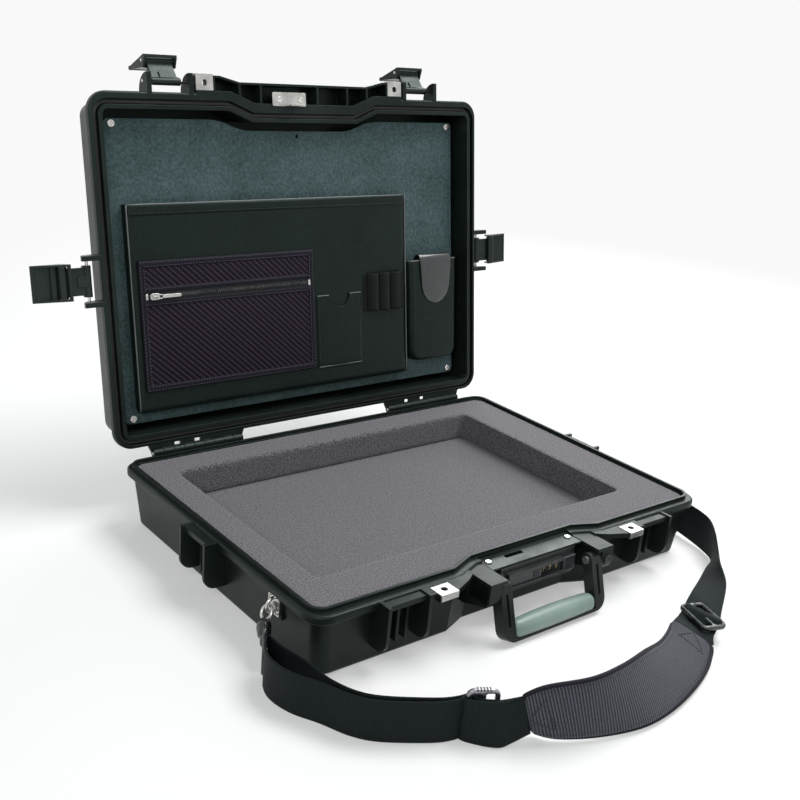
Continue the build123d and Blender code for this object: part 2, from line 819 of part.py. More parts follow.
with BuildPart() as lock_housing:
    x_range = (-lock_half_length, lock_half_length)
    block(x_range, (lock_face, rim_step_y), (lock_bottom, bezel_floor))
    block(x_range, (rim_step_y, lock_back), (lock_bottom, base_height - base_band - 0.3))
    # Slide channel of the dust cover: a ledge above and below, each with a lip.
    for edge, way in ((cover_high + loose_clearance, 1), (cover_low - loose_clearance, -1)):
        block((cover_left - 2, rail_end), (lock_face, cover_front - loose_clearance),
              (edge, edge + way * rail_thickness))
        block((cover_left - 2, rail_end),
              (cover_front - loose_clearance, cover_front - loose_clearance - 1.2),
              (edge - way * 1.3, edge + way * rail_thickness))
    # Slot for the hasp's tongue.
    block((slot_x - slot_length / 2, slot_x + slot_length / 2),
          (slot_y - slot_width / 2, slot_y + slot_width / 2),
          (base_height - hasp_tongue_drop - 4, base_height), Mode.SUBTRACT)
    # Windows of the dials, bore of their axle.
    dial_y = lock_face - dial_proud + dial_radius
    for i in range(dial_count):
        with BuildSketch(Plane.YZ.offset(dial_first_x + i * dial_pitch - dial_width / 2
                                         - loose_clearance)):
            with Locations((dial_y, dial_z)):
                Circle(dial_radius + loose_clearance)
        extrude(amount=dial_width + 2 * loose_clearance, mode=Mode.SUBTRACT)
    with BuildSketch(Plane.YZ.offset(axle_left)):
        with Locations((dial_y, dial_z)):
            Circle(dial_axle_radius + running_clearance)
    extrude(amount=axle_right - axle_left, mode=Mode.SUBTRACT)
    # Pocket of the button and of its spring.
    half = button_size / 2 + loose_clearance
    button_back = lock_face - button_proud + button_length
    block((button_x - half, button_x + half), (lock_face - 1, button_back + button_travel + 0.5),
          (button_z - half, button_z + half), Mode.SUBTRACT)
    with BuildSketch(Plane.XZ.offset(-lock_face)):
        with Locations((button_x, button_z)):
            Circle(spring_radius + loose_clearance)
    extrude(amount=lock_face - spring_back - button_travel - running_clearance,
            mode=Mode.SUBTRACT)
save(lock_housing, "lock_housing")

with BuildPart() as lock_axle:
    with BuildSketch(Plane.YZ.offset(axle_left + running_clearance)):
        with Locations((dial_y, dial_z)):
            Circle(dial_axle_radius)
    extrude(amount=axle_right - axle_left - 2 * running_clearance)
save(lock_axle, "lock_axle")

for i in range(dial_count):
    with BuildPart() as lock_dial:
        with BuildSketch(Plane.YZ.offset(dial_first_x + i * dial_pitch - dial_width / 2)):
            with Locations((dial_y, dial_z)):
                Circle(dial_radius)
                with PolarLocations(dial_radius, dial_positions):
                    Circle(dial_notch, mode=Mode.SUBTRACT)
                Circle(dial_axle_radius + running_clearance, mode=Mode.SUBTRACT)
        extrude(amount=dial_width)
    save(lock_dial, f"lock_dial_{i + 1}")

with BuildPart() as lock_cover:
    block((cover_left, cover_right), (cover_front, cover_back), (cover_low, cover_high))
    for edge, way in ((cover_high, -1), (cover_low, 1)):
        block((cover_left, cover_right), (cover_back, lock_face - loose_clearance),
              (edge, edge + way * 1.0))
    # Finger ribs near the leading edge.
    for i in range(4):
        x = cover_right - 3 - 2.4 * i
        block((x - 0.6, x + 0.6), (cover_front - 0.6, cover_front),
              (cover_low + 3, cover_high - 3))
save(lock_cover, "lock_cover")

with BuildPart() as lock_button:
    side = button_size / 2
    block((button_x - side, button_x + side), (lock_face - button_proud, button_back),
          (button_z - side, button_z + side))
    face = lock_button.faces().sort_by(Axis.Y)[0]
    fillet(face.edges(), 1.2)
    with BuildSketch(Plane.XZ.offset(-button_back)):
        with Locations((button_x, button_z)):
            Circle(spring_radius + loose_clearance)
    extrude(amount=button_length - 3, mode=Mode.SUBTRACT)
save(lock_button, "lock_button")

with BuildPart() as button_spring:
    spring_front = button_back - button_length + 3 + button_travel + 0.5
    with BuildSketch(Plane.XZ.offset(-spring_front)):
        with Locations((button_x, button_z)):
            Circle(spring_radius)
            Circle(spring_radius - 0.8, mode=Mode.SUBTRACT)
    extrude(amount=-(spring_back - spring_front))
save(button_spring, "button_spring")

# ---- Handle, hanging from its bolts ----
handle_plane = turned(Plane(origin=(0, handle_pivot_y, handle_pivot_z), x_dir=(0, -1, 0),
                            z_dir=(0, 0, 1)), 0, 0, handle_lean)
# X of this frame points out of the case, Y along it, -Z down the arms.
handle_low = -(handle_radius + grip_half_height)
grip_core_top = handle_low + grip_half_height + 4.0
grip_core_low = handle_low + strip_thickness

with BuildPart() as handle_frame:
    with BuildSketch(inside(handle_plane, Plane.YZ.offset(-arm_half_depth))):
        with Locations((0, (handle_low + arm_top) / 2)):
            Rectangle(2 * handle_outer, arm_top - handle_low)
        with Locations((0, (grip_core_top + arm_top) / 2 + 1)):
            Rectangle(2 * handle_inner, arm_top - grip_core_top + 2, mode=Mode.SUBTRACT)
    extrude(amount=2 * arm_half_depth)
    # Rounded heads of the arms.
    with BuildSketch(inside(handle_plane, Plane.XZ.offset(handle_outer + 1))):
        Rectangle(6 * arm_half_depth, 2 * arm_top + 0.01)
        Circle(arm_top, mode=Mode.SUBTRACT)
        with Locations((0, -arm_top)):
            Rectangle(6 * arm_half_depth, 2 * arm_top, mode=Mode.SUBTRACT)
    extrude(amount=-2 * handle_outer - 2, mode=Mode.SUBTRACT)
    # Rounded outer corners below, a groove down the front of each arm.
    corner_edges = handle_frame.edges().filter_by(
        lambda e: abs(e.length - 2 * arm_half_depth) < 0.1 and e.center().Z < 12
        and abs(abs(e.center().X) - handle_outer) < 0.1)
    fillet(corner_edges, handle_corner)
    for side in (-1, 1):
        with BuildSketch(inside(handle_plane, Plane.YZ.offset(arm_half_depth))):
            with Locations((side * (handle_inner + handle_outer) / 2, -handle_radius / 2)):
                SlotCenterToCenter(handle_radius * 0.7, arm_groove_width, rotation=90)
        extrude(amount=-arm_groove, mode=Mode.SUBTRACT)
    # Core of the grip: the bar is cut in above its bottom strip.
    for way in (-1, 1):
        with BuildSketch(inside(handle_plane, Plane.XY.offset(grip_core_low))):
            with Locations((way * (core_half_depth + arm_half_depth), 0)):
                Rectangle(2 * arm_half_depth, 2 * handle_inner)
        extrude(amount=grip_core_top - grip_core_low + 1, mode=Mode.SUBTRACT)
    with BuildSketch(inside(handle_plane, Plane.XZ.offset(handle_outer + 1))):
        Circle(bolt_radius + running_clearance)
    extrude(amount=-2 * handle_outer - 2, mode=Mode.SUBTRACT)
save(handle_frame, "handle_frame")

with BuildPart() as handle_grip:
    grip_end = handle_inner - 0.5
    with BuildSketch(inside(handle_plane, Plane.XZ.offset(-grip_end))):
        with Locations((0, -handle_radius)):
            Ellipse(grip_half_depth, grip_half_height)
        with Locations((0, handle_low)):
            Rectangle(4 * grip_half_depth, 2 * strip_thickness + 0.1, mode=Mode.SUBTRACT)
        with Locations((0, (grip_core_low + grip_core_top) / 2)):
            Rectangle(2 * core_half_depth + 0.1, grip_core_top - grip_core_low + 0.1,
                      mode=Mode.SUBTRACT)
    extrude(amount=2 * grip_end)
    fillet(handle_grip.edges().filter_by(
        lambda e: e.geom_type == GeomType.ELLIPSE and abs(e.center().X) > grip_end - 1),
        grip_end_round)
save(handle_grip, "handle_grip")

with BuildPart() as handle_bolts:
    for side in (-1, 1):
        with BuildSketch(Plane.YZ.offset(side * (handle_inner - 0.3))):
            with Locations((handle_pivot_y, handle_pivot_z)):
                Circle(bolt_head_radius)
        extrude(amount=-side * bolt_head_height)
        with BuildSketch(Plane.YZ.offset(side * (handle_inner - 0.3))):
            with Locations((handle_pivot_y, handle_pivot_z)):
                Circle(bolt_radius)
        extrude(amount=side * (handle_outer - handle_inner + bolt_depth - 2))
save(handle_bolts, "handle_bolts")

# ---- Lid shell ----
lid_wall_top = case_top - wall
box_outer = padlock_y - padlock_depth / 2


def box_outline():
    """Plan of the boxed nose that the lid carries over the front notch."""
    x_far = padlock_x - padlock_width / 2
    with BuildSketch() as plan:
        with BuildLine():
            box_back = -half_depth + notch_depth + wall
            Polyline((-x_far, box_back), (-x_far, box_outer),
                     (-x_far + 8, box_outer), (-box_flat, box_front),
                     (box_flat, box_front), (x_far - 8, box_outer),
                     (x_far, box_outer), (x_far, box_back), close=True)
        make_face()
        fillet(plan.vertices().filter_by(
            lambda v: v.Y < -half_depth and abs(v.X) < x_far - 1), box_round)
    return plan.sketch


def lid_section(z, extra):
    """Blend between the lid's mouth and its crown, at a height of the closed case."""
    share = (z - base_height) / (lid_wall_top - base_height)
    side_top = wall_step + side_draft + wall
    end_top = wall_step + front_draft + wall
    side = (cavity_side + lip_width) * (1 - share) + side_top * share + extra
    front = (cavity_front + lip_width) * (1 - share) + end_top * share + extra
    rear = (cavity_rear + lip_width) * (1 - share) + end_top * share + extra
    return outline(side, front, rear, 6.0)


with BuildPart() as lid_shell:
    # Crown, lofted from the rim band to the lid's top.
    with BuildSketch(in_lid(Plane.XY.offset(base_height + lid_band - 1))):
        add(even_outline(wall_step))
    with BuildSketch(in_lid(Plane.XY.offset(case_top))):
        add(outline(wall_step + side_draft, wall_step + front_draft,
                    wall_step + front_draft, rim_corner - wall_step))
    loft()
    crown = lid_shell.faces().sort_by(Axis(lid_origin, lid_frame.z_dir))[-1]
    fillet(crown.edges(), lid_top_round)
    add(inside(lid_frame, Plane.XY).location * rounded_band(lid_band, base_height))
    # Boxed nose over the notch, and the bosses of the padlock eyes.
    with BuildSketch(in_lid(Plane.XY.offset(base_height))):
        add(box_outline())
    extrude(amount=box_height)
    for side in (-1, 1):
        with BuildSketch(in_lid(Plane.XY.offset(base_height))):
            with Locations((side * padlock_x, (box_outer - half_depth + lid_band) / 2)):
                Rectangle(padlock_width, -half_depth + lid_band - box_outer)
        extrude(amount=boss_height)
    # Quarter round fins that carry the latch pins.
    for frame in lid_latches.values():
        for side in (-1, 1):
            with BuildSketch(inside(frame, Plane.XZ.offset(-side * fin_half_gap))):
                with BuildLine():
                    Polyline((0, lid_fin_reach), (fin_wall_in, lid_fin_reach),
                             (fin_wall_in, 0), (lid_fin_reach, 0))
                    CenterArc((0, 0), lid_fin_reach, 0, 90)
                make_face()
            extrude(amount=-side * lid_fin_thickness)
    # Hinge web and the lid's knuckles.
    for group in hinge_groups:
        with BuildSketch(in_lid(Plane.XY.offset(hinge_z + loose_clearance))):
            with BuildLine():
                low, high = group
                Polyline((low - hinge_taper, half_depth - band_round - 1),
                         (low, hinge_y), (high, hinge_y),
                         (high + hinge_taper, half_depth - band_round - 1), close=True)
            make_face()
        extrude(amount=knuckle_radius - loose_clearance)
        for low, high in knuckle_spans(group, 0):
            with BuildSketch(in_lid(Plane.YZ.offset(low - knuckle_gap))):
                with Locations((hinge_y, hinge_z)):
                    Circle(knuckle_radius + knuckle_gap)
            extrude(amount=high - low + 2 * knuckle_gap, mode=Mode.SUBTRACT)
        for low, high in knuckle_spans(group, 1):
            with BuildSketch(in_lid(Plane.YZ.offset(low))):
                with Locations((hinge_y, hinge_z)):
                    Circle(knuckle_radius)
            extrude(amount=high - low)
    # Inside of the lid.
    with BuildSketch(in_lid(Plane.XY.offset(base_height))):
        add(cavity_outline(lip_width))
    with BuildSketch(in_lid(Plane.XY.offset(lid_wall_top))):
        add(inner_profile())
    loft(mode=Mode.SUBTRACT)
    # Groove of the seal.
    with BuildSketch(in_lid(Plane.XY.offset(base_height))):
        add(seal_ring(tongue_gap - groove_clearance, tongue_gap + tongue_width + groove_clearance))
    extrude(amount=groove_depth, mode=Mode.SUBTRACT)
    # Open cells of the nose.
    cells = [-padlock_x + padlock_width / 2 + box_wall, *box_dividers,
             padlock_x - padlock_width / 2 - box_wall]
    for low, high in zip(cells[:-1], cells[1:]):
        left = low + (box_wall / 2 if low in box_dividers else 0)
        right = high - (box_wall / 2 if high in box_dividers else 0)
        with BuildSketch(in_lid(Plane.XY.offset(base_height))):
            add(offset(box_outline(), -box_wall, kind=Kind.INTERSECTION))
            add(outline(-box_wall, -box_wall, 0, rim_corner), mode=Mode.SUBTRACT)
            with Locations(((left + right) / 2, -half_depth)):
                Rectangle(right - left, case_depth / 3, mode=Mode.INTERSECT)
        extrude(amount=box_height - box_wall, mode=Mode.SUBTRACT)
    # Seats of the padlock plates and their holes, windows of the hinge web.
    for side in (-1, 1):
        with BuildSketch(in_lid(Plane.XY.offset(base_height))):
            with Locations((side * padlock_x, padlock_y)):
                Rectangle(padlock_width, padlock_depth + 0.01)
        extrude(amount=padlock_plate + running_clearance, mode=Mode.SUBTRACT)
        with BuildSketch(in_lid(Plane.XY.offset(base_height - 1))):
            with Locations((side * padlock_x, padlock_y)):
                Circle(padlock_hole)
        extrude(amount=4 * boss_height, mode=Mode.SUBTRACT)
    for group in hinge_groups:
        with BuildSketch(in_lid(Plane.XY.offset(hinge_z))):
            for low, high in knuckle_spans(group, 0)[1:3]:
                window_y = (half_depth + hinge_y - knuckle_radius) / 2
                with Locations(((low + high) / 2, window_y)):
                    Rectangle(hinge_window, hinge_y - knuckle_radius - half_depth)
        extrude(amount=2 * knuckle_radius, mode=Mode.SUBTRACT)
        with BuildSketch(in_lid(Plane.YZ.offset(group[0] - 1))):
            with Locations((hinge_y, hinge_z)):
                Circle(hinge_pin_radius + running_clearance)
        extrude(amount=group[1] - group[0] + 2, mode=Mode.SUBTRACT)
    # Bores of the latch pins.
    for frame in lid_latches.values():
        with BuildSketch(inside(frame, Plane.XZ.offset(fin_half_gap + lid_fin_thickness + 1))):
            with Locations((latch_pin_out, latch_pin_rise)):
                Circle(latch_pin_radius + running_clearance)
        extrude(amount=-2 * (fin_half_gap + lid_fin_thickness + 1), mode=Mode.SUBTRACT)
    # Posts of the hasp's screws, and posts that the liner is screwed to.
    with BuildSketch(in_lid(Plane.XY.offset(base_height))):
        with Locations(*[(x, hasp_screw_y) for x in hasp_screws]):
            Circle(hasp_post)
            Circle(hasp_screw_radius, mode=Mode.SUBTRACT)
    extrude(amount=box_height - box_wall)
    with BuildSketch(in_lid(Plane.XY.offset(liner_z + liner_thickness))):
        with Locations(*liner_screw_points):
            Circle(liner_post)
            Circle(liner_screw_radius, mode=Mode.SUBTRACT)
    extrude(amount=lid_wall_top - liner_z - liner_thickness + 1)
save(lid_shell, "lid_shell")

# ---- Lid fittings ----
with BuildPart() as lid_gasket:
    with BuildSketch(in_lid(Plane.XY.offset(base_height + groove_depth))):
        add(seal_ring(tongue_gap, tongue_gap + tongue_width))
    extrude(amount=-gasket_height)
save(lid_gasket, "lid_gasket")

with BuildPart() as liner_panel:
    with BuildSketch(in_lid(Plane.XY.offset(liner_z))):
        add(lid_section(liner_z + liner_thickness, liner_clearance))
        with Locations(*liner_screw_points):
            Circle(liner_screw_radius + loose_clearance, mode=Mode.SUBTRACT)
        with Locations((0, -liner_hole_y)):
            Circle(1.5, mode=Mode.SUBTRACT)
    extrude(amount=liner_thickness)
save(liner_panel, "liner_panel")

lid_up = lid_frame.z_dir
lid_down = -lid_frame.z_dir


def lid_point(x, y, z):
    """World position of a point given in the closed case's axes."""
    return lid_frame.from_local_coords((x, y, z))


with BuildPart() as liner_screws:
    for x, y in liner_screw_points:
        add(screw(lid_point(x, y, liner_z), lid_down, liner_screw_radius - running_clearance,
                  liner_screw_length, liner_screw_head, liner_screw_head_height))
save(liner_screws, "liner_screws")

with BuildPart() as lid_padlock_plates:
    for side in (-1, 1):
        with BuildSketch(in_lid(Plane.XY.offset(base_height + running_clearance))):
            with Locations((side * padlock_x, padlock_y)):
                Rectangle(padlock_width, padlock_depth)
        extrude(amount=padlock_plate)
        with BuildSketch(in_lid(Plane.XY.offset(base_height + running_clearance))):
            with Locations((side * padlock_x, eye_front - padlock_plate / 2)):
                Rectangle(padlock_width, padlock_plate)
        extrude(amount=padlock_plate + padlock_lip)
        with BuildSketch(in_lid(Plane.XY.offset(base_height - 1))):
            with Locations((side * padlock_x, padlock_y)):
                Circle(padlock_hole)
        extrude(amount=boss_height, mode=Mode.SUBTRACT)
save(lid_padlock_plates, "lid_padlock_plates")

hasp_top = base_height - running_clearance
hasp_under = hasp_top - hasp_plate
with BuildPart() as hasp:
    with BuildSketch(in_lid(Plane.XY.offset(hasp_under))):
        with Locations(((hasp_left + hasp_right) / 2, (hasp_front + hasp_back) / 2)):
            RectangleRounded(hasp_right - hasp_left, hasp_back - hasp_front, hasp_corner)
        with Locations(*[(x, hasp_screw_y) for x in hasp_screws]):
            Circle(hasp_screw_radius, mode=Mode.SUBTRACT)
    extrude(amount=hasp_plate)
    with BuildSketch(in_lid(Plane.XY.offset(hasp_top))):
        with Locations((slot_x, hasp_back - hasp_tongue_thickness / 2)):
            Rectangle(hasp_tongue_length, hasp_tongue_thickness)
    extrude(amount=-hasp_tongue_drop)
    # Window that the lock's bolt enters.
    with BuildSketch(in_lid(Plane.XZ.offset(-hasp_back))):
        with Locations((slot_x, base_height - 0.65 * hasp_tongue_drop)):
            Rectangle(hasp_tongue_length / 2, hasp_tongue_drop / 3)
    extrude(amount=2 * hasp_tongue_thickness, both=True, mode=Mode.SUBTRACT)
save(hasp, "hasp")

with BuildPart() as hasp_screws_pair:
    for x in hasp_screws:
        add(screw(lid_point(x, hasp_screw_y, hasp_under), lid_down,
                  hasp_screw_radius - running_clearance, hasp_screw_length,
                  hasp_screw_head, hasp_screw_head_height))
save(hasp_screws_pair, "hasp_screws")

# ---- Latches ----
with BuildPart() as latch_pins:
    for frame in lid_latches.values():
        reach = fin_half_gap + lid_fin_thickness
        with BuildSketch(inside(frame, Plane.XZ.offset(reach))):
            with Locations((latch_pin_out, latch_pin_rise)):
                Circle(latch_pin_radius)
        extrude(amount=-2 * reach)
save(latch_pins, "latch_pins")


def latch_link(frame):
    """Link of a latch, hung from its lid pin at the frame's origin."""
    with BuildPart() as made:
        with BuildSketch(inside(frame, Plane.XZ.offset(-link_half_width))):
            Circle(link_knuckle)
            with Locations((0, -link_length)):
                Circle(link_knuckle)
            with Locations((link_plate_out / 2 - link_plate_in / 2, -link_length / 2)):
                Rectangle(link_plate_out + link_plate_in, link_length)
            with Locations((0, 0), (0, -link_length)):
                Circle(latch_pin_radius + running_clearance, mode=Mode.SUBTRACT)
        extrude(amount=2 * link_half_width)
        # Waist in the knuckle ends, and a square pad on the inner face.
        for side in (-1, 1):
            with BuildSketch(inside(frame, Plane.YZ.offset(-link_knuckle - 1))):
                with Locations((side * link_half_width, -link_length / 2)):
                    RectangleRounded(2 * link_waist, link_length - 2 * link_knuckle - 1, link_waist - 0.5)
            extrude(amount=2 * link_knuckle + 2, mode=Mode.SUBTRACT)
        with BuildSketch(inside(frame, Plane.YZ.offset(-link_plate_in))):
            with Locations((0, -link_pad_drop)):
                RectangleRounded(link_pad, link_pad, 1.5)
        extrude(amount=-link_pad_rise)
    return made.part


def latch_lever(frame):
    """Lever of a latch, on its pin at the frame's origin."""
    plate_out = lever_plate_in + lever_plate_thickness
    with BuildPart() as made:
        # Plate outside the link.
        with BuildSketch(inside(frame, Plane.YZ.offset(lever_plate_in))):
            with Locations((0, (lever_plate_top - lever_reach) / 2)):
                Rectangle(2 * lever_half_width, lever_reach + lever_plate_top)
        extrude(amount=lever_plate_thickness)
        # Cheeks either side of the link, and the nose that joins them.
        for side in (-1, 1):
            with BuildSketch(inside(frame, Plane.XZ.offset(-side * lever_half_width))):
                with BuildLine():
                    Polyline((plate_out, -lever_reach), (plate_out, cheek_top),
                             (-nose_outer, nose_high), (-nose_inner, nose_high),
                             (-nose_inner, nose_low), (-cheek_back, -cheek_back),
                             (lever_plate_in, -lever_reach), close=True)
                make_face()
            extrude(amount=side * cheek_thickness)
        with BuildSketch(inside(frame, Plane.XZ.offset(-lever_half_width))):
            with Locations((-(nose_inner + nose_outer) / 2, (nose_low + nose_high) / 2)):
                Rectangle(nose_inner - nose_outer, nose_high - nose_low)
        extrude(amount=2 * lever_half_width)
        # Stiffening bar across the inner face, and the rolled finger lip.
        with BuildSketch(inside(frame, Plane.XZ.offset(-lever_half_width))):
            with Locations((lever_plate_in - lever_bar_depth / 2, lever_bar_z)):
                Rectangle(lever_bar_depth, lever_bar_height)
            with Locations((lever_plate_in + lever_plate_thickness / 2, -lever_reach)):
                Circle(lever_lip)
        extrude(amount=2 * lever_half_width)
        with BuildSketch(inside(frame, Plane.XZ.offset(lever_half_width + 1))):
            Circle(latch_pin_radius)
        extrude(amount=-2 * lever_half_width - 2, mode=Mode.SUBTRACT)
    return made.part


def latch_lever_pin(frame):
    """Pin that joins a lever to its link."""
    with BuildPart() as made:
        with BuildSketch(inside(frame, Plane.XZ.offset(-lever_half_width))):
            Circle(latch_pin_radius)
        extrude(amount=2 * lever_half_width)
    return made.part


for name, frame in lid_latches.items():
    front = name.startswith("front")
    link_angle = front_link_angle if front else side_link_angle
    lever_angle = front_lever_angle if front else side_lever_angle
    link_frame = turned(frame, latch_pin_out, latch_pin_rise, link_angle)
    lever_frame = turned(link_frame, 0, -link_length, lever_angle)
    with BuildPart() as link:
        add(latch_link(link_frame))
    save(link, f"{name}_link")
    with BuildPart() as lever:
        add(latch_lever(lever_frame))
    save(lever, f"{name}_lever")
    with BuildPart() as lever_pin:
        add(latch_lever_pin(lever_frame))
    save(lever_pin, f"{name}_lever_pin")

# ---- Organiser on the liner ----
organiser_gap = 0.3
file_back = liner_z - running_clearance


with BuildPart(lid_frame) as file_pocket:
    block((file_left, file_right), (file_top, file_bottom), (pocket_z, file_back))
    block((file_left + leather, file_right - leather),
              (file_top - 1, file_bottom - leather),
              (pocket_z + leather, liner_z + 1), Mode.SUBTRACT)
save(file_pocket, "file_pocket")

zip_z = pocket_z - zip_thickness
with BuildPart(lid_frame) as zip_pocket:
    block((zip_left, zip_right), (zip_top, zip_bottom), (zip_z, pocket_z - running_clearance))
save(zip_pocket, "zip_pocket")

with BuildPart(lid_frame) as zip_track:
    block((zip_left + 4, zip_right - 4), (zip_line - zip_track_half, zip_line + zip_track_half),
              (zip_z - zip_track_thickness, zip_z - running_clearance))
save(zip_track, "zip_track")

slider_top = zip_z - zip_track_thickness - organiser_gap
slider_x = zip_left + 10 + zip_slider_length / 2
with BuildPart(lid_frame) as zip_slider:
    half = zip_slider_length / 2
    block((slider_x - half, slider_x + half),
              (zip_line - zip_slider_width / 2, zip_line + zip_slider_width / 2),
              (slider_top - zip_slider_height, slider_top))
    block((slider_x - 1, slider_x + zip_pull_length),
              (zip_line - zip_pull_width / 2, zip_line + zip_pull_width / 2),
              (slider_top - zip_slider_height - zip_pull_thickness,
               slider_top - zip_slider_height))
save(zip_slider, "zip_slider")

with BuildPart(lid_frame) as card_pocket:
    block((card_left, card_right), (card_top, card_bottom),
              (pocket_z - card_thickness, pocket_z - running_clearance))
    with BuildSketch(in_lid(Plane.XY.offset(pocket_z - card_thickness - 1))):
        with Locations(((card_left + card_right) / 2, card_top)):
            Circle(card_cut)
    extrude(amount=card_thickness + 2, mode=Mode.SUBTRACT)
save(card_pocket, "card_pocket")

with BuildPart() as pen_loops:
    pitch = (pen_right - pen_left) / pen_count
    with BuildSketch(in_lid(Plane.XZ.offset(-pen_bottom))):
        low = pocket_z - running_clearance - pen_height
        for i in range(pen_count):
            with Locations((pen_left + (i + 0.5) * pitch, low + pen_height / 2)):
                RectangleRounded(pitch + 0.01, pen_height, pen_round)
        for i in range(pen_count):
            with Locations((pen_left + (i + 0.5) * pitch, low + pen_height / 2)):
                RectangleRounded(pitch - 2 * pen_band, pen_height - 2 * pen_band,
                                 pen_round - pen_band, mode=Mode.SUBTRACT)
    extrude(amount=pen_bottom - pen_top)
save(pen_loops, "pen_loops")

holster_z = liner_z - holster_thickness
with BuildPart(lid_frame) as phone_holster:
    block((holster_left, holster_right), (holster_top, holster_bottom),
              (holster_z, file_back))
    long_edges = phone_holster.edges().filter_by(Axis((0, 0, 0), lid_frame.y_dir))
    low_edges = long_edges.sort_by(Axis(lid_origin, lid_up))[:2]
    fillet(low_edges, holster_round)
    block((holster_left + holster_wall, holster_right - holster_wall),
              (holster_top - 1, holster_bottom - holster_wall),
              (holster_z + holster_wall, file_back - holster_wall), Mode.SUBTRACT)
save(phone_holster, "phone_holster")

with BuildPart() as holster_flap:
    flap_low = holster_z - organiser_gap - flap_thickness
    flap_high = file_back - holster_wall - organiser_gap
    arc_top = holster_top - flap_rise
    middle_z = (flap_low + flap_high) / 2
    with BuildSketch(in_lid(Plane.YZ.offset(flap_left))):
        with BuildLine():
            Polyline((flap_end, flap_low), (holster_top, flap_low))
            ThreePointArc((holster_top, flap_low), (arc_top, middle_z), (holster_top, flap_high))
            Line((holster_top, flap_high), (holster_top, flap_high - flap_thickness))
            ThreePointArc((holster_top, flap_high - flap_thickness),
                          (arc_top + flap_thickness, middle_z),
                          (holster_top, flap_low + flap_thickness))
            Polyline((holster_top, flap_low + flap_thickness),
                     (flap_end, flap_low + flap_thickness), (flap_end, flap_low))
        make_face()
    extrude(amount=flap_right - flap_left)
    # Rounded end of the flap.
    with BuildSketch(in_lid(Plane.XY.offset(flap_low - 1))):
        half = (flap_right - flap_left) / 2
        with Locations(((flap_left + flap_right) / 2, flap_end)):
            Rectangle(4 * half, 2 * half)
        with Locations(((flap_left + flap_right) / 2, flap_end - half)):
            Circle(half, mode=Mode.SUBTRACT)
        with Locations(((flap_left + flap_right) / 2, flap_end - 2 * half)):
            Rectangle(4 * half, 2 * half, mode=Mode.SUBTRACT)
    extrude(amount=flap_thickness + 1.2, mode=Mode.SUBTRACT)
save(holster_flap, "holster_flap")

# ---- Strap: anchors, hooks, webbing, sliders and shoulder pad ----
with BuildPart() as strap_anchors:
    for side in (-1, 1):
        with BuildSketch(Plane.YZ.offset(side * anchor_out)):
            with Locations((anchor_y, anchor_z)):
                RectangleRounded(anchor_plate, anchor_plate, 2.5)
        extrude(amount=side * anchor_plate_thickness)
        face_x = side * (anchor_out + anchor_plate_thickness)
        with BuildSketch(Plane(origin=(face_x, anchor_y, anchor_z + staple_radius),
                               x_dir=(0, 1, 0), z_dir=(side, 0, 0))):
            Circle(staple_wire)
        with BuildLine() as arc:
            ThreePointArc((face_x, anchor_y, anchor_z + staple_radius),
                          (face_x + side * staple_radius, anchor_y, anchor_z),
                          (face_x, anchor_y, anchor_z - staple_radius))
        sweep(path=arc.line)
        for shift in (-anchor_screw_span / 2, anchor_screw_span / 2):
            with BuildSketch(Plane.YZ.offset(side * (anchor_out - 1))):
                with Locations((anchor_y + shift, anchor_z + shift)):
                    Circle(anchor_screw_radius + running_clearance)
            extrude(amount=side * (anchor_plate_thickness + 2), mode=Mode.SUBTRACT)
save(strap_anchors, "strap_anchors")

with BuildPart() as anchor_screws:
    for side in (-1, 1):
        for shift in (-anchor_screw_span / 2, anchor_screw_span / 2):
            seat = (side * (anchor_out + anchor_plate_thickness),
                    anchor_y + shift, anchor_z + shift)
            add(screw(seat, (side, 0, 0), anchor_screw_radius,
                      anchor_screw_depth + anchor_plate_thickness,
                      anchor_screw_head, anchor_screw_head_height))
save(anchor_screws, "anchor_screws")


def rod(start, end, radius):
    """A round bar between two points, made where it lies."""
    axis = Vector(*end) - Vector(*start)
    with BuildPart(Plane(origin=start, z_dir=axis)) as made:
        Cylinder(radius, axis.length, align=(Align.CENTER, Align.CENTER, Align.MIN))
    return made.part


def snap_hook(side):
    """Snap hook of one strap end: ring, barrel and the wide loop of the webbing."""
    tilt = radians(hook_ring_tilt)
    through = Vector(side * (anchor_out + anchor_plate_thickness + hook_ring_out),
                     anchor_y, anchor_z)
    fall = Vector(side * sin(tilt), 0, -cos(tilt))
    centre = through + fall * hook_ring_radius
    neck = through + fall * (2 * hook_ring_radius)
    loop_z = web_loop_low + web_loop_wire
    loop_top = loop_z + web_width + 2 * web_loop_wire + web_loop_slack
    bar = Vector(side * web_loop_x, web_loop_y, 0)
    inward = (Vector(through.X, through.Y, 0) - bar).normalized()
    back = bar + inward * web_loop_span
    shoulder = Vector(back.X, back.Y, (loop_z + loop_top) / 2)
    with BuildPart() as made:
        with BuildPart(Plane(origin=centre, x_dir=fall, z_dir=fall.cross(Vector(0, 1, 0))),
                       mode=Mode.PRIVATE) as ring:
            Torus(hook_ring_radius, hook_ring_wire)
        add(ring.part)
        reach = shoulder - neck
        add(rod(neck, neck + reach * barrel_swivel, barrel_neck_radius))
        add(rod(neck + reach * barrel_start, neck + reach * barrel_end, barrel_radius))
        corners = [Vector(p.X, p.Y, z) for p, z in
                   ((bar, loop_z), (bar, loop_top), (back, loop_top), (back, loop_z))]
        for first, second in zip(corners, corners[1:] + corners[:1]):
            add(rod(first, second, web_loop_wire))
            with Locations(second):
                Sphere(web_loop_wire)
        add(rod(neck + reach * barrel_swivel, shoulder, barrel_neck_radius))
    return made.part


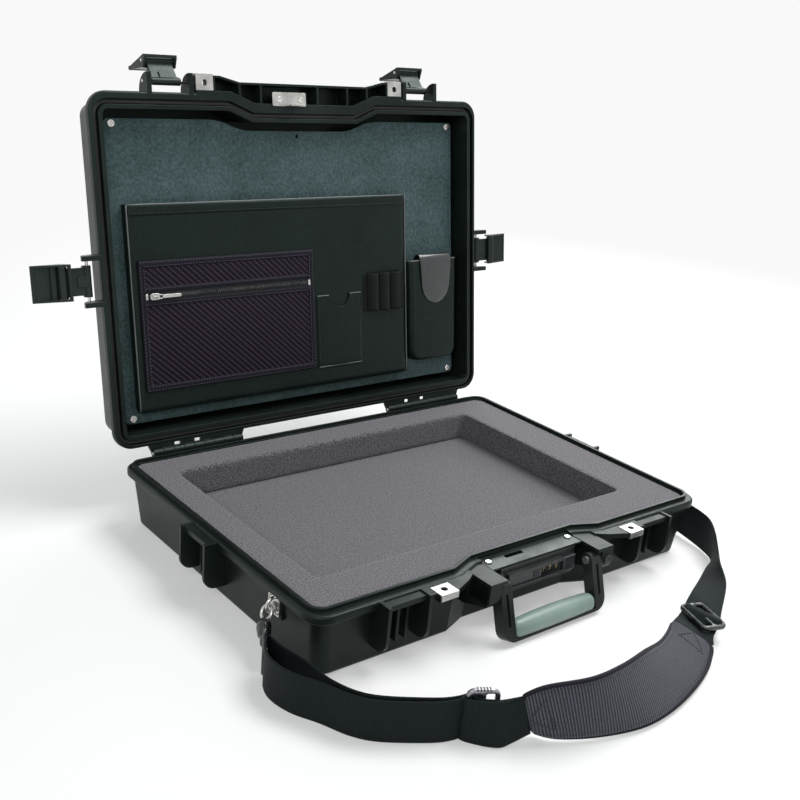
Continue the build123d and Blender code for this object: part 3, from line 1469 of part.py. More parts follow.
def ribbon(stations, thickness):
    """Band of webbing lofted through stations, each a low and a high edge point."""
    lows = [Vector(*low) for low, high in stations]
    highs = [Vector(*high) for low, high in stations]
    middles = [(low + high) / 2 for low, high in zip(lows, highs)]
    last = len(stations) - 1
    with BuildPart() as made:
        for i, middle in enumerate(middles):
            along = middles[min(i + 1, last)] - middles[max(i - 1, 0)]
            across = highs[i] - lows[i]
            normal = across.cross(along)
            with BuildSketch(Plane(origin=middle, x_dir=across, z_dir=normal.cross(across))):
                Rectangle(across.length, thickness)
        loft(ruled=True)
    return made.part


for side, name in ((-1, "left_snap_hook"), (1, "right_snap_hook")):
    with BuildPart() as hook:
        add(snap_hook(side))
    save(hook, name)

with BuildPart() as strap_left:
    add(ribbon(left_web, web_thickness))
save(strap_left, "strap_left")

with BuildPart() as strap_left_return:
    add(ribbon(left_return, web_thickness))
save(strap_left_return, "strap_left_return")

with BuildPart() as strap_right:
    add(ribbon(right_web, web_thickness))
save(strap_right, "strap_right")

with BuildPart() as shoulder_pad:
    add(ribbon(pad_stations, pad_thickness))
save(shoulder_pad, "shoulder_pad")


def ladder_slider(centre, along, across):
    """Three bar slider: its long way runs across the webbing."""
    along = Vector(*along).normalized()
    across = Vector(*across).normalized()
    plane = Plane(origin=centre, x_dir=along, z_dir=along.cross(across))
    with BuildPart(plane) as made:
        for y in (-1, 1):
            with Locations((0, y * (slider_length / 2 - slider_bar), 0)):
                Box(slider_span, 2 * slider_bar, 2 * slider_bar)
        for x in (-1, 0, 1):
            with Locations((x * (slider_span / 2 - slider_bar), 0, 0)):
                Box(2 * slider_bar, slider_length - 2 * slider_bar, 2 * slider_bar)
    return made.part


for (centre, along, across), name in ((left_slider_at, "left_slider"),
                                      (right_slider_at, "right_slider")):
    with BuildPart() as web_slider:
        add(ladder_slider(centre, along, across))
    save(web_slider, name)
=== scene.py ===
"""Laptop hard case: materials, soft goods, small details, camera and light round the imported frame.

Metres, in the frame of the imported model. Pieces on the lid are drawn in the axes of the
closed case, in millimetres, and carried open with lid_point().
"""
import json
import math
from itertools import accumulate

import bmesh
import bpy
from mathutils import Matrix, Vector

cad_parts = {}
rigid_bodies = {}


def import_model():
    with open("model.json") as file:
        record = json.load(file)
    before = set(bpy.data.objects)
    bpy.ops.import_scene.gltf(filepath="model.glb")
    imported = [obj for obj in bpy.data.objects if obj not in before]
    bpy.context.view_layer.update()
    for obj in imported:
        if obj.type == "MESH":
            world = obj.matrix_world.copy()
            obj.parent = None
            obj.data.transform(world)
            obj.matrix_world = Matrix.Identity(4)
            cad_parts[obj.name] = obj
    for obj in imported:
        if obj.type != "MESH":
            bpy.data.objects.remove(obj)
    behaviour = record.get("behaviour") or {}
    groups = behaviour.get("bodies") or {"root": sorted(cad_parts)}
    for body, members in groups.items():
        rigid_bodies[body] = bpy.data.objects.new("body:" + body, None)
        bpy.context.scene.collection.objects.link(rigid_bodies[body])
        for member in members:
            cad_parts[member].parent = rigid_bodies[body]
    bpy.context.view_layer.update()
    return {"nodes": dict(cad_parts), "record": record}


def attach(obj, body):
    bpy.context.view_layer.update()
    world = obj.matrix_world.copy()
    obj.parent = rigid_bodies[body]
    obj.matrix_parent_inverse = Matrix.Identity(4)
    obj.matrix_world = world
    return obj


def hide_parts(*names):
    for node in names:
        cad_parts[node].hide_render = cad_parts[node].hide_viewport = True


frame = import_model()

nodes = frame["nodes"]
scene = bpy.context.scene
MM = 0.001

# The lid's hinge and how far it stands open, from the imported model, in millimetres.
OPEN_ANGLE = math.radians(99.4)
HINGE_Y, HINGE_Z = 191.5, 66.0
COS_OPEN, SIN_OPEN = math.cos(OPEN_ANGLE), math.sin(OPEN_ANGLE)


def lid_point(x, y, z):
    """World position, in metres, of a point given in the closed case's axes."""
    dy, dz = y - HINGE_Y, z - HINGE_Z
    return Vector((x, HINGE_Y + dy * COS_OPEN + dz * SIN_OPEN,
                   HINGE_Z - dy * SIN_OPEN + dz * COS_OPEN)) * MM


def set_all(thing, **values):
    """Sets several properties of a Blender thing and gives it back."""
    for key, value in values.items():
        setattr(thing, key, value)
    return thing


def linked(name, data):
    """New object of the scene."""
    made = bpy.data.objects.new(name, data)
    scene.collection.objects.link(made)
    return made


# ---- materials ----

materials = {}
COOL = (0.78, 1.0, 0.93, 1)
WHITE = (1, 1, 1, 1)
PER_METRE = 0.31416  # scale of a wave texture that draws one line per metre


class Shading:
    """A node tree with short ways to add nodes to it and to wire them."""

    def __init__(self, tree):
        self.tree = tree

    def wire(self, source, target):
        self.tree.links.new(source, target)

    def node(self, kind, **values):
        """Adds a node and sets its properties or, by name, its inputs."""
        made = self.tree.nodes.new("ShaderNode" + kind)
        for key, value in values.items():
            if hasattr(made, key):
                setattr(made, key, value)
            else:
                self.put(made, key, value)
        return made

    def put(self, target, key, value):
        target.inputs[key.replace("_", " ")].default_value = value

    def coordinates(self, kind="Object", scale=(1, 1, 1), turn=(0, 0, 0)):
        mapping = self.node("Mapping", Scale=scale, Rotation=turn)
        self.wire(self.node("TexCoord").outputs[kind], mapping.inputs["Vector"])
        return mapping.outputs["Vector"]

    def remap(self, value, low, high, to_low=0.0, to_high=1.0):
        """Value between two limits carried to two others."""
        mapped = self.node("MapRange", From_Min=low, From_Max=high, To_Min=to_low, To_Max=to_high)
        self.wire(value, mapped.inputs["Value"])
        return mapped.outputs["Result"]

    def combine(self, operation, first, second):
        """Result of a math operation on two sockets."""
        made = self.node("Math", operation=operation)
        self.wire(first, made.inputs[0])
        self.wire(second, made.inputs[1])
        return made.outputs["Value"]

    def texture(self, kind, where, output, **values):
        """Output of a texture node read at some coordinates."""
        made = self.node("Tex" + kind, **values)
        self.wire(where, made.inputs["Vector"])
        return made.outputs[output]

    def noise(self, where, scale, detail=3.0):
        return self.texture("Noise", where, "Fac", Scale=scale, Detail=detail)

    def cells(self, where, scale, feature="F1"):
        return self.texture("Voronoi", where, "Distance", feature=feature, Scale=scale)

    def wave(self, where, scale, direction, distortion=0.0):
        return self.texture("Wave", where, "Fac", bands_direction=direction, Scale=scale,
                            Distortion=distortion)

    def background_rays(self):
        """1 for the rays that should meet the plain white background, 0 for the light's own."""
        path = self.node("LightPath").outputs
        seen = self.combine("MAXIMUM", path["Is Camera Ray"], path["Is Glossy Ray"])
        return self.combine("MAXIMUM", seen, path["Is Transmission Ray"])

    def blend(self, factor, first, second, target):
        """Wires to a target the shader that goes from first to second with a factor."""
        mix = self.node("MixShader")
        for source, socket in zip((factor, first.outputs[0], second.outputs[0]), mix.inputs):
            self.wire(source, socket)
        self.wire(mix.outputs[0], target)


class Paint(Shading):
    """Material with a Principled shader whose uniform values sit on its own sockets."""

    def __init__(self, name, rough, metallic=0.0, spec=0.5, tint=WHITE, **sockets):
        materials[name] = made = bpy.data.materials.new(name)
        made.use_nodes = True
        super().__init__(made.node_tree)
        self.shader = self.tree.nodes["Principled BSDF"]
        for key, value in dict(Roughness=rough, Metallic=metallic, Specular_IOR_Level=spec,
                               Specular_Tint=tint, **sockets).items():
            self.put(self.shader, key, value)

    def colour(self, factor, low, high):
        """Base colour that goes from low to high with a factor."""
        mix = self.node("Mix", data_type="RGBA")
        mix.inputs[6].default_value = (*low, 1)
        mix.inputs[7].default_value = (*high, 1)
        self.wire(factor, mix.inputs[0])
        self.wire(mix.outputs[2], self.shader.inputs["Base Color"])

    def gloss(self, value, low, high):
        """Roughness between two limits, uneven with a noise."""
        self.wire(self.remap(value, 0.3, 0.7, low, high), self.shader.inputs["Roughness"])

    def bump(self, *heights, edge=0.0):
        """Stacks bumps of (height, strength, distance in mm) and rounds edges by a radius in mm."""
        normal = self.node("Bevel", samples=4, Radius=edge * MM).outputs["Normal"] if edge else None
        for height, strength, distance in heights:
            made = self.node("Bump", Strength=strength, Distance=distance * MM)
            self.wire(height, made.inputs["Height"])
            if normal is not None:
                self.wire(normal, made.inputs["Normal"])
            normal = made.outputs["Normal"]
        self.wire(normal, self.shader.inputs["Normal"])


def moulded(name, low, high, rough, grain, strength, edge=0.5, spread=0.08, **sockets):
    """Moulded plastic or rubber: cloudy tone, fine grain, uneven gloss, rounded edges."""
    paint = Paint(name, rough, **sockets)
    where = paint.coordinates()
    paint.colour(paint.remap(paint.noise(where, 14.0, 4.0), 0.35, 0.65), low, high)
    paint.gloss(paint.noise(where, 55.0, 5.0), rough - spread, rough + spread)
    paint.bump((paint.noise(where, grain, 2.0), strength, 0.12), edge=edge)


def metal(name, low, high, rough, brush=(1, 1, 1), edge=0.25, metallic=1.0):
    """Metal with drawn grain, small stains and rounded edges."""
    paint = Paint(name, rough, metallic)
    grain = paint.noise(paint.coordinates(scale=brush), 260.0, 4.0)
    stain = paint.noise(paint.coordinates(), 60.0)
    paint.colour(paint.remap(stain, 0.35, 0.65), low, high)
    paint.gloss(grain, rough - 0.08, rough + 0.12)
    paint.bump((grain, 0.15, 0.05), edge=edge)


def leather(name, low, high, rough, scale, strength, **sockets):
    """Grained leather: cells of pebble, fine creases, uneven polish."""
    paint = Paint(name, rough, **sockets)
    where = paint.coordinates()
    cells = paint.cells(where, scale, "SMOOTH_F1")
    cloud = paint.noise(where, 18.0, 5.0)
    crease = paint.noise(where, scale * 0.35, 6.0)
    tone = paint.combine("ADD", paint.remap(cloud, 0.3, 0.7, 0, 0.45),
                         paint.remap(crease, 0.36, 0.64, 0, 0.55))
    paint.colour(tone, low, high)
    paint.gloss(cloud, rough - 0.07, rough + 0.09)
    paint.bump((cells, strength, 0.25), (crease, strength * 0.6, 0.3))


def woven(name, low, high, rough, ends, picks, strength, turn=0.0, **sockets):
    """Woven cloth on mesh UVs in metres: ends along the piece and picks across it, per metre."""
    paint = Paint(name, rough, **sockets)
    where = paint.coordinates("UV", turn=(0, 0, turn))
    weave = paint.combine("MULTIPLY", paint.wave(where, ends * PER_METRE, "X"),
                          paint.wave(where, picks * PER_METRE, "Y"))
    fuzz = paint.noise(paint.coordinates(), 900.0)
    paint.colour(paint.combine("MULTIPLY", weave, paint.remap(fuzz, 0.3, 0.7, 0.6, 1.1)), low, high)
    paint.bump((weave, strength, 0.35), (fuzz, strength * 0.5, 0.15))


def foam_paint():
    """Open-cell foam: pits of two sizes and speckled tone."""
    paint = Paint("foam", 0.95, Sheen_Weight=0.2, Sheen_Roughness=0.6)
    where = paint.coordinates()
    speck = paint.remap(paint.noise(where, 700.0), 0.40, 0.60)
    paint.colour(speck, (0.036, 0.033, 0.041), (0.165, 0.157, 0.178))
    paint.bump((paint.cells(where, 620.0), 0.75, 0.7), (paint.noise(where, 300.0, 4.0), 0.5, 0.6))


def pad_paint():
    """Ribbed pad cloth: fine cords across the pad, lighter on their tops than between them."""
    paint = Paint("pad", 0.68, spec=0.18, Sheen_Weight=0.12, Sheen_Roughness=0.45)
    where = paint.coordinates("UV")
    ribs = paint.wave(where, 121.0, "X", 0.25)
    fuzz = paint.noise(paint.coordinates(), 800.0)
    paint.colour(paint.combine("MULTIPLY", ribs, paint.remap(fuzz, 0.3, 0.7, 0.55, 1.1)),
                 (0.010, 0.011, 0.016), (0.105, 0.112, 0.138))
    paint.bump((ribs, 0.7, 0.8), (paint.wave(where, 420.0, "Y"), 0.25, 0.2), (fuzz, 0.3, 0.2))


foam_paint()
pad_paint()
moulded("shell", (0.0045, 0.0068, 0.0062), (0.010, 0.0145, 0.0135), 0.36, 1500, 0.30, 0.8, 0.045,
        spec=0.19, tint=COOL)
moulded("bezel", (0.009, 0.014, 0.0125), (0.017, 0.025, 0.022), 0.34, 1300, 0.3,
        spec=0.22, tint=COOL)
moulded("lock_body", (0.010, 0.011, 0.012), (0.02, 0.022, 0.023), 0.34, 1800, 0.15)
moulded("lock_trim", (0.018, 0.020, 0.022), (0.03, 0.033, 0.036), 0.26, 1800, 0.1, 0.4)
moulded("dial", (0.006, 0.006, 0.006), (0.012, 0.012, 0.012), 0.3, 1500, 0.1, 0.3)
moulded("latch", (0.009, 0.012, 0.0115), (0.019, 0.024, 0.023), 0.30, 1400, 0.22, 0.6,
        spec=0.22, tint=COOL)
moulded("handle", (0.008, 0.010, 0.010), (0.016, 0.020, 0.019), 0.28, 1500, 0.15, 0.8, spec=0.23)
moulded("grip", (0.17, 0.24, 0.22), (0.25, 0.33, 0.305), 0.38, 1700, 0.35, 1.0)
moulded("seal", (0.006, 0.006, 0.006), (0.014, 0.014, 0.014), 0.6, 900, 0.3)
moulded("piping", (0.07, 0.08, 0.08), (0.12, 0.13, 0.13), 0.35, 900, 0.2, 0.0)
moulded("thread", (0.012, 0.012, 0.014), (0.03, 0.03, 0.034), 0.6, 2500, 0.3, 0.0)
moulded("thread_light", (0.05, 0.045, 0.06), (0.085, 0.08, 0.1), 0.6, 2500, 0.3, 0.0)
# Pale material for the lock cover's top edge: a painted highlight.
moulded("painted_highlight_edge", (0.30, 0.285, 0.28), (0.60, 0.58, 0.57), 0.35, 900, 0.2, 0.0)
moulded("hook_black", (0.008, 0.009, 0.010), (0.016, 0.018, 0.019), 0.26, 1500, 0.15, 0.0)
metal("steel", (0.37, 0.37, 0.355), (0.54, 0.54, 0.52), 0.32, (1, 14, 1))
metal("bright_steel", (0.50, 0.49, 0.47), (0.66, 0.65, 0.63), 0.16)
metal("dark_metal", (0.03, 0.032, 0.033), (0.06, 0.063, 0.065), 0.32, metallic=0.6)
metal("zip_coil", (0.03, 0.031, 0.034), (0.07, 0.072, 0.076), 0.3, metallic=0.5)
metal("slider_metal", (0.22, 0.215, 0.24), (0.36, 0.355, 0.385), 0.28)
metal("slider_dark", (0.045, 0.05, 0.05), (0.10, 0.108, 0.108), 0.24, metallic=0.8)
metal("digit", (0.78, 0.60, 0.24), (0.92, 0.76, 0.38), 0.38, metallic=0.15, edge=0.0)
leather("liner", (0.020, 0.036, 0.038), (0.080, 0.122, 0.130), 0.42, 900, 0.85,
        spec=0.22, tint=COOL)
leather("leather", (0.0035, 0.006, 0.0055), (0.009, 0.0145, 0.013), 0.36, 900, 0.22,
        spec=0.16, tint=COOL)
leather("flap_leather", (0.010, 0.014, 0.014), (0.022, 0.029, 0.029), 0.24, 700, 0.3,
        Coat_Weight=0.45, Coat_Roughness=0.18)
woven("nylon", (0.0004, 0.0003, 0.0008), (0.078, 0.050, 0.092), 0.6, 400, 200, 0.9,
      math.radians(-42), spec=0.11)
woven("binding", (0.004, 0.0035, 0.007), (0.019, 0.016, 0.028), 0.6, 900, 500, 0.4, spec=0.15)
woven("zip", (0.003, 0.004, 0.0045), (0.011, 0.014, 0.0145), 0.5, 1100, 700, 0.4, spec=0.21)
woven("elastic", (0.003, 0.004, 0.004), (0.016, 0.018, 0.018), 0.7, 1300, 600, 0.6, spec=0.16)
woven("webbing", (0.0025, 0.0035, 0.0045), (0.013, 0.017, 0.020), 0.62, 520, 900, 0.7,
      spec=0.15, tint=COOL)

slot_of = {s["node"]: s["material_slot"] for s in frame["record"]["subparts"]}
for name, thing in nodes.items():
    thing.data.materials.clear()
    thing.data.materials.append(materials[slot_of[name]])


# ---- mesh helpers ----

def placed(name, mesh, material, body, smooth=True):
    """Object of a finished mesh, of one material, that rides on a body."""
    mesh.materials.clear()
    mesh.materials.append(materials[material])
    if smooth:
        mesh.polygons.foreach_set("use_smooth", [True] * len(mesh.polygons))
    made = linked(name, mesh)
    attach(made, body)
    return made


def mesh_of(name, data, prepare=None):
    """Mesh that a curve, a text or a mesh gives, with the modifiers that prepare adds."""
    holder = linked(name + "_source", data)
    if prepare:
        prepare(holder)
    bpy.context.view_layer.update()
    graph = bpy.context.evaluated_depsgraph_get()
    mesh = bpy.data.meshes.new_from_object(holder.evaluated_get(graph))
    bpy.data.batch_remove([holder, data])
    return mesh


def piece(name, points, faces, material, body, uvs=None):
    """Mesh object that rides on a body, with outward normals and UVs given per point."""
    mesh = bpy.data.meshes.new(name)
    mesh.from_pydata([tuple(p) for p in points], [], faces)
    if uvs is not None:
        layer = mesh.uv_layers.new(name="UVMap")
        for loop in mesh.loops:
            layer.data[loop.index].uv = uvs[loop.vertex_index]
    work = bmesh.new()
    work.from_mesh(mesh)
    bmesh.ops.recalc_face_normals(work, faces=work.faces)
    work.to_mesh(mesh)
    work.free()
    return placed(name, mesh, material, body)


def skin(rings, sides, first=0, closed=False):
    """Faces of a bar of rings of points: its sides, then, unless it is closed, its two ends."""
    faces = []
    for k in range(rings if closed else rings - 1):
        here, there = first + k * sides, first + (k + 1) % rings * sides
        faces += [(here + n, here + (n + 1) % sides, there + (n + 1) % sides, there + n)
                  for n in range(sides)]
    if not closed:
        faces += [tuple(first + k * sides + n for n in range(sides)) for k in (0, rings - 1)]
    return faces


def circle(count):
    """Cosine and sine at each step of a turn divided into count steps."""
    turns = [2 * math.pi * n / count for n in range(count)]
    return [(math.cos(turn), math.sin(turn)) for turn in turns]


def smooth_value(values, t):
    """Catmull-Rom value at t, from 0 to 1, of a list of vectors or numbers."""
    last = len(values) - 1
    place = min(max(t, 0.0), 1.0) * last
    i = min(int(place), last - 1)
    f = place - i
    p0, p1, p2, p3 = (values[min(max(i + k, 0), last)] for k in (-1, 0, 1, 2))
    return (p1 * 2 + (p2 - p0) * f + (p0 * 2 - p1 * 5 + p2 * 4 - p3) * f ** 2
            + (p1 * 3 - p0 - p2 * 3 + p3) * f ** 3) * 0.5


def corner_drop(radius, near):
    """How far a rounded corner stands back from its edge, at a distance from its end."""
    if near >= radius:
        return 0.0
    return radius - math.sqrt(max(radius ** 2 - (radius - near) ** 2, 0.0))


def eased(corners, cuts, steps):
    """Closed line through corners, each rounded off over its cut."""
    found = []
    for k, (here, cut) in enumerate(zip(corners, cuts)):
        first = here + (corners[k - 1] - here).normalized() * cut
        last = here + (corners[(k + 1) % len(corners)] - here).normalized() * cut
        found += [first.lerp(here, n / steps).lerp(here.lerp(last, n / steps), n / steps)
                  for n in range(steps + 1)]
    return found


ROUND_RIM = 0.9  # how far a sheet's rounded rim stands out, in half thicknesses
TINY = 1e-12


def slab(name, point, columns, rows, thick, material, body):
    """Closed sheet about the surface point(u, v), thick in mm, UVs in metres along its grid."""
    grid = [[point(i / columns, j / rows) for j in range(rows + 1)] for i in range(columns + 1)]
    width, height = ([0.0, *accumulate((b - a).length for a, b in zip(line, line[1:]))]
                     for line in ([column[rows // 2] for column in grid], grid[columns // 2]))
    count = (columns + 1) * (rows + 1)

    def at(i, j, side=0):
        return side * count + i * (rows + 1) + j

    fronts, backs, uvs, normals = [], [], [], {}
    for i in range(columns + 1):
        for j in range(rows + 1):
            along = grid[min(i + 1, columns)][j] - grid[max(i - 1, 0)][j]
            across = grid[i][min(j + 1, rows)] - grid[i][max(j - 1, 0)]
            normal = along.cross(across)
            normal = normal.normalized() if normal.length > TINY else Vector((0, 0, 1))
            half = (thick(i / columns, j / rows) if callable(thick) else thick) * MM / 2
            normals[i, j] = (normal, half)
            fronts.append(grid[i][j] + normal * half)
            backs.append(grid[i][j] - normal * half)
            uvs.append((width[i], height[j]))
    points, uvs, faces = fronts + backs, uvs + uvs, []
    for i in range(columns):
        for j in range(rows):
            faces.append((at(i, j), at(i + 1, j), at(i + 1, j + 1), at(i, j + 1)))
            faces.append((at(i, j, 1), at(i, j + 1, 1), at(i + 1, j + 1, 1), at(i + 1, j, 1)))
    rim = ([(i, 0) for i in range(columns)] + [(columns, j) for j in range(rows)]
           + [(i, rows) for i in range(columns, 0, -1)] + [(0, j) for j in range(rows, 0, -1)])
    first = len(points)
    for i, j in rim:
        normal, half = normals[i, j]
        outward = grid[i][j] - grid[min(max(i, 1), columns - 1)][min(max(j, 1), rows - 1)]
        outward = outward - normal * outward.dot(normal)
        outward = outward.normalized() if outward.length > TINY else Vector((0, 0, 0))
        points.append(grid[i][j] + outward * half * ROUND_RIM)
        uvs.append(uvs[at(i, j)])
    for k, (i, j) in enumerate(rim):
        i2, j2 = rim[(k + 1) % len(rim)]
        a, b = first + k, first + (k + 1) % len(rim)
        faces.append((at(i, j), at(i2, j2), b, a))
        faces.append((a, b, at(i2, j2, 1), at(i, j, 1)))
    return piece(name, points, faces, material, body, uvs)


def tube(name, line, radius, material, body, sides=8, closed=False, squash=1.0, flat=None):
    """Round or, with flat as its thin direction, oval bar along a list of points in metres."""
    points, uvs = [], []
    count, run, side = len(line), 0.0, None
    for k, at in enumerate(line):
        ahead = line[(k + 1) % count] if closed or k < count - 1 else at
        behind = line[k - 1] if closed or k > 0 else at
        along = (ahead - behind).normalized()
        if flat is not None:
            side = along.cross(flat)
        elif side is None:
            side = along.cross(Vector((0, 0, 1)) if abs(along.z) < 0.9 else Vector((1, 0, 0)))
        else:
            side = side - along * side.dot(along)
        side.normalize()
        up = side.cross(along)
        size = (radius(k / (count - 1)) if callable(radius) else radius) * MM
        for n, (c, s) in enumerate(circle(sides)):
            points.append(at + side * c * size + up * s * size * squash)
            uvs.append((run, n * size / 3))
        run += (ahead - at).length
    return piece(name, points, skin(count, sides, closed=closed), material, body, uvs)


def resample(line, step):
    """Points every step millimetres along a polyline in metres, from its start."""
    found, need, here = [], 0.0, 0.0
    for first, second in zip(line[:-1], line[1:]):
        span = (second - first).length
        while span > 0 and need <= here + span:
            found.append(first.lerp(second, (need - here) / span))
            need += step * MM
        here += span
    return found


STITCH_STEP, STITCH_SIDES = 0.2, 5
STITCH_SHAPE = ((0.0, 0.35), (0.2, 0.9), (0.5, 1.0), (0.8, 0.9), (1.0, 0.35))  # (run, radius)
OBLIQUE = Vector((0.31, 0.57, 0.76))


def stitches(name, line, body, length=2.6, gap=1.3, radius=0.32, material="thread"):
    """Row of sewn stitches: short rounded threads that sink into the cloth at their ends."""
    points, faces = [], []
    fine = resample(line, STITCH_STEP)
    starts = {min(range(len(fine)), key=lambda k: (fine[k] - mark).length_squared)
              for mark in resample(line, length + gap)[:-1]}
    span = int(length / STITCH_STEP)
    for start in sorted(starts):
        if start + span >= len(fine):
            continue
        faces += skin(len(STITCH_SHAPE), STITCH_SIDES, len(points))
        along = (fine[start + span] - fine[start]).normalized()
        side = along.cross(OBLIQUE).normalized()
        up = side.cross(along)
        for t, scale in STITCH_SHAPE:
            points += [fine[start + int(t * span)] + (side * c + up * s) * radius * scale * MM
                       for c, s in circle(STITCH_SIDES)]
    return piece(name, points, faces, material, body)


def rounded_plate(name, outline, holes, depth, frame_at, material, body, bevel):
    """Plate with holes from outlines in mm, in the axes of a 4x4 matrix, with bevelled edges."""
    curve = set_all(bpy.data.curves.new(name, "CURVE"), dimensions="2D", fill_mode="BOTH",
                    extrude=(depth / 2 - bevel) * MM, bevel_depth=bevel * MM, bevel_resolution=3,
                    offset=-bevel * MM)
    for loop in (outline, *holes):
        spline = curve.splines.new("POLY")
        spline.points.add(len(loop) - 1)
        for point, (x, y) in zip(spline.points, loop):
            point.co = (x * MM, y * MM, 0, 1)
        spline.use_cyclic_u = True
    mesh = mesh_of(name, curve)
    mesh.transform(frame_at)
    return placed(name, mesh, material, body)


def rounded_rectangle(width, height, radius, steps=6, centre=(0, 0)):
    """Outline of a rounded rectangle, in mm."""
    found = []
    for corner, (sx, sy) in enumerate(((1, 1), (-1, 1), (-1, -1), (1, -1))):
        for k in range(steps + 1):
            turn = math.pi / 2 * (corner + k / steps)
            found.append((centre[0] + sx * (width / 2 - radius) + radius * math.cos(turn),
                          centre[1] + sy * (height / 2 - radius) + radius * math.sin(turn)))
    return found


def matrix_of(x_way, y_way, z_way, origin):
    """Matrix of three axes and an origin in metres."""
    made = Matrix((x_way, y_way, z_way)).transposed().to_4x4()
    made.translation = origin
    return made


def axes(origin, x_way, y_way):
    """Matrix in metres of a frame given by its origin in mm and two directions."""
    x_way = Vector(x_way).normalized()
    z_way = x_way.cross(Vector(y_way)).normalized()
    return matrix_of(x_way, z_way.cross(x_way), z_way, Vector(origin) * MM)


def trace(surface, corners, steps):
    """Points on a surface along a polyline of its coordinates, with a step count per side."""
    found = []
    counts = steps if isinstance(steps, tuple) else (steps,) * (len(corners) - 1)
    for first, second, count in zip(corners, corners[1:], counts):
        found += [surface(*(a + (b - a) * k / count for a, b in zip(first, second)))
                  for k in range(count)]
    return found + [surface(*corners[-1])]


# ---- webbing, sliders and pad ----
# A band is given by stations, each the low and the high edge of the band, in mm.

WEB_THICK, WEB_WIDE = 1.7, 0.038


def upright(*rows):
    """Stations of a band that stands on edge, from rows (x, y, low z, high z)."""
    return [((x, y, low), (x, y, high)) for x, y, low, high in rows]


def band(name, stations, node_name, per_span=7):
    """Webbing through its stations, smooth along its run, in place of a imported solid."""
    lows, highs = ([Vector(station[k]) for station in stations] for k in (0, 1))

    def point(u, v):
        return smooth_value(lows, u).lerp(smooth_value(highs, u), v) * MM

    made = slab(name, point, (len(stations) - 1) * per_span, 14, WEB_THICK, "webbing", "base")
    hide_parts(node_name)
    middles = [(low + high) / 2 for low, high in zip(lows, highs)]
    length = sum((b - a).length for a, b in zip(middles, middles[1:])) * MM


band("webbing_left", upright(
    (-278.5, -146.5, 4.2, 42.2), (-288.0, -160.0, 2.5, 40.5), (-291.5, -176.0, 0.9, 38.8),
    (-287.6, -199.5, 0.9, 38.6), (-275.0, -224.0, 0.9, 38.6), (-263.6, -250.0, 0.9, 38.6),
    (-248.0, -268.5, 0.9, 38.6), (-215.0, -290.6, 0.9, 38.6), (-198.0, -297.5, 0.9, 38.7),
    (-184.0, -299.0, 1.0, 38.8), (-173.0, -304.4, 1.0, 38.8)), "strap_left")
band("webbing_left_inner", upright(
    (-276.6, -146.6, 4.2, 42.2), (-275.0, -165.0, 2.5, 40.5), (-270.0, -182.0, 1.2, 39.0),
    (-268.0, -200.0, 0.9, 38.6), (-266.5, -222.0, 0.9, 38.6), (-258.5, -246.0, 0.9, 38.6),
    (-244.0, -263.5, 0.9, 38.6), (-212.0, -286.0, 0.9, 38.6), (-196.0, -293.6, 0.9, 38.6),
    (-183.0, -296.4, 0.9, 38.7), (-172.0, -301.6, 0.9, 38.7)), "strap_left_return")
band("webbing_right", (
    ((84.9, -290.8, 18.0), (100.4, -328.5, 9.0)), ((99.0, -285.0, 15.4), (108.0, -322.0, 11.0)),
    ((110.0, -280.5, 13.4), (116.5, -317.8, 11.6)), ((122.6, -277.8, 20.6), (126.4, -315.0, 20.4)),
    ((135.0, -268.8, 12.8), (139.6, -306.4, 12.0)), ((153.3, -261.0, 16.0), (151.0, -299.0, 13.5)),
    ((188.4, -244.4, 12.0), (188.0, -275.5, 24.0)), ((227.6, -225.1, 7.0), (210.0, -250.5, 30.5)),
    ((251.3, -214.3, 3.0), (232.0, -231.8, 30.5)), ((262.6, -204.0, 1.5), (253.0, -210.5, 37.5)),
    ((271.5, -184.6, 1.5), (272.0, -188.9, 39.0)), ((275.8, -165.2, 3.0), (278.0, -168.9, 40.5)),
    ((279.0, -146.1, 4.2), (279.0, -146.1, 42.2))), "strap_right")

# Loop of webbing that ties the pad to the left slider.
SLIDE_ALONG, SLIDE_OUT = Vector((0.86, -0.51, 0.0)), Vector((-0.51, -0.86, 0.0))


def loop_station(run, out, low, high, lean=0.0):
    """Station of the loop: run along the band, distance in front of the slider, its edges."""
    middle = Vector((-177.5, -306.0, 0.0)) + SLIDE_ALONG * run + SLIDE_OUT * out
    return (middle + Vector((lean * 0.3, 0, low)) + SLIDE_OUT * lean, middle + Vector((0, 0, high)))


loop_rows = (
    (14.0, 5.6, 1.6, 39.6), (5.5, 4.4, 1.3, 39.3), (0.0, 3.5, 1.2, 39.2), (-6.0, 0.0, 1.1, 39.1),
    (-9.5, -3.0, 1.0, 39.0), (-13.0, -3.4, 1.0, 39.0), (-15.6, -1.6, 1.0, 39.0),
    (-15.9, 1.2, 1.0, 39.0), (-13.0, 3.8, 1.0, 39.2, 0.8), (-6.0, 6.0, 1.0, 39.4, 2.6),
    (4.0, 8.0, 1.1, 39.6, 5.0), (14.0, 8.4, 1.4, 40.2, 6.4), (24.0, 6.0, 2.4, 41.2, 4.6))
band("webbing_loop", (((-141.0, -326.3, 5.6), (-154.0, -326.0, 42.6)),
                      *(loop_station(*row) for row in loop_rows),
                      ((-141.8, -328.9, 5.0), (-155.2, -328.9, 42.8))), "strap_left", 6)


NOTCH_PITCH, NOTCH_HALF_DEPTH = 2.6, 1.95
NOTCH_OUTLINE = ((-0.6, -0.9), (0.6, -0.9), (0.6, 1.1), (-0.6, 1.1))


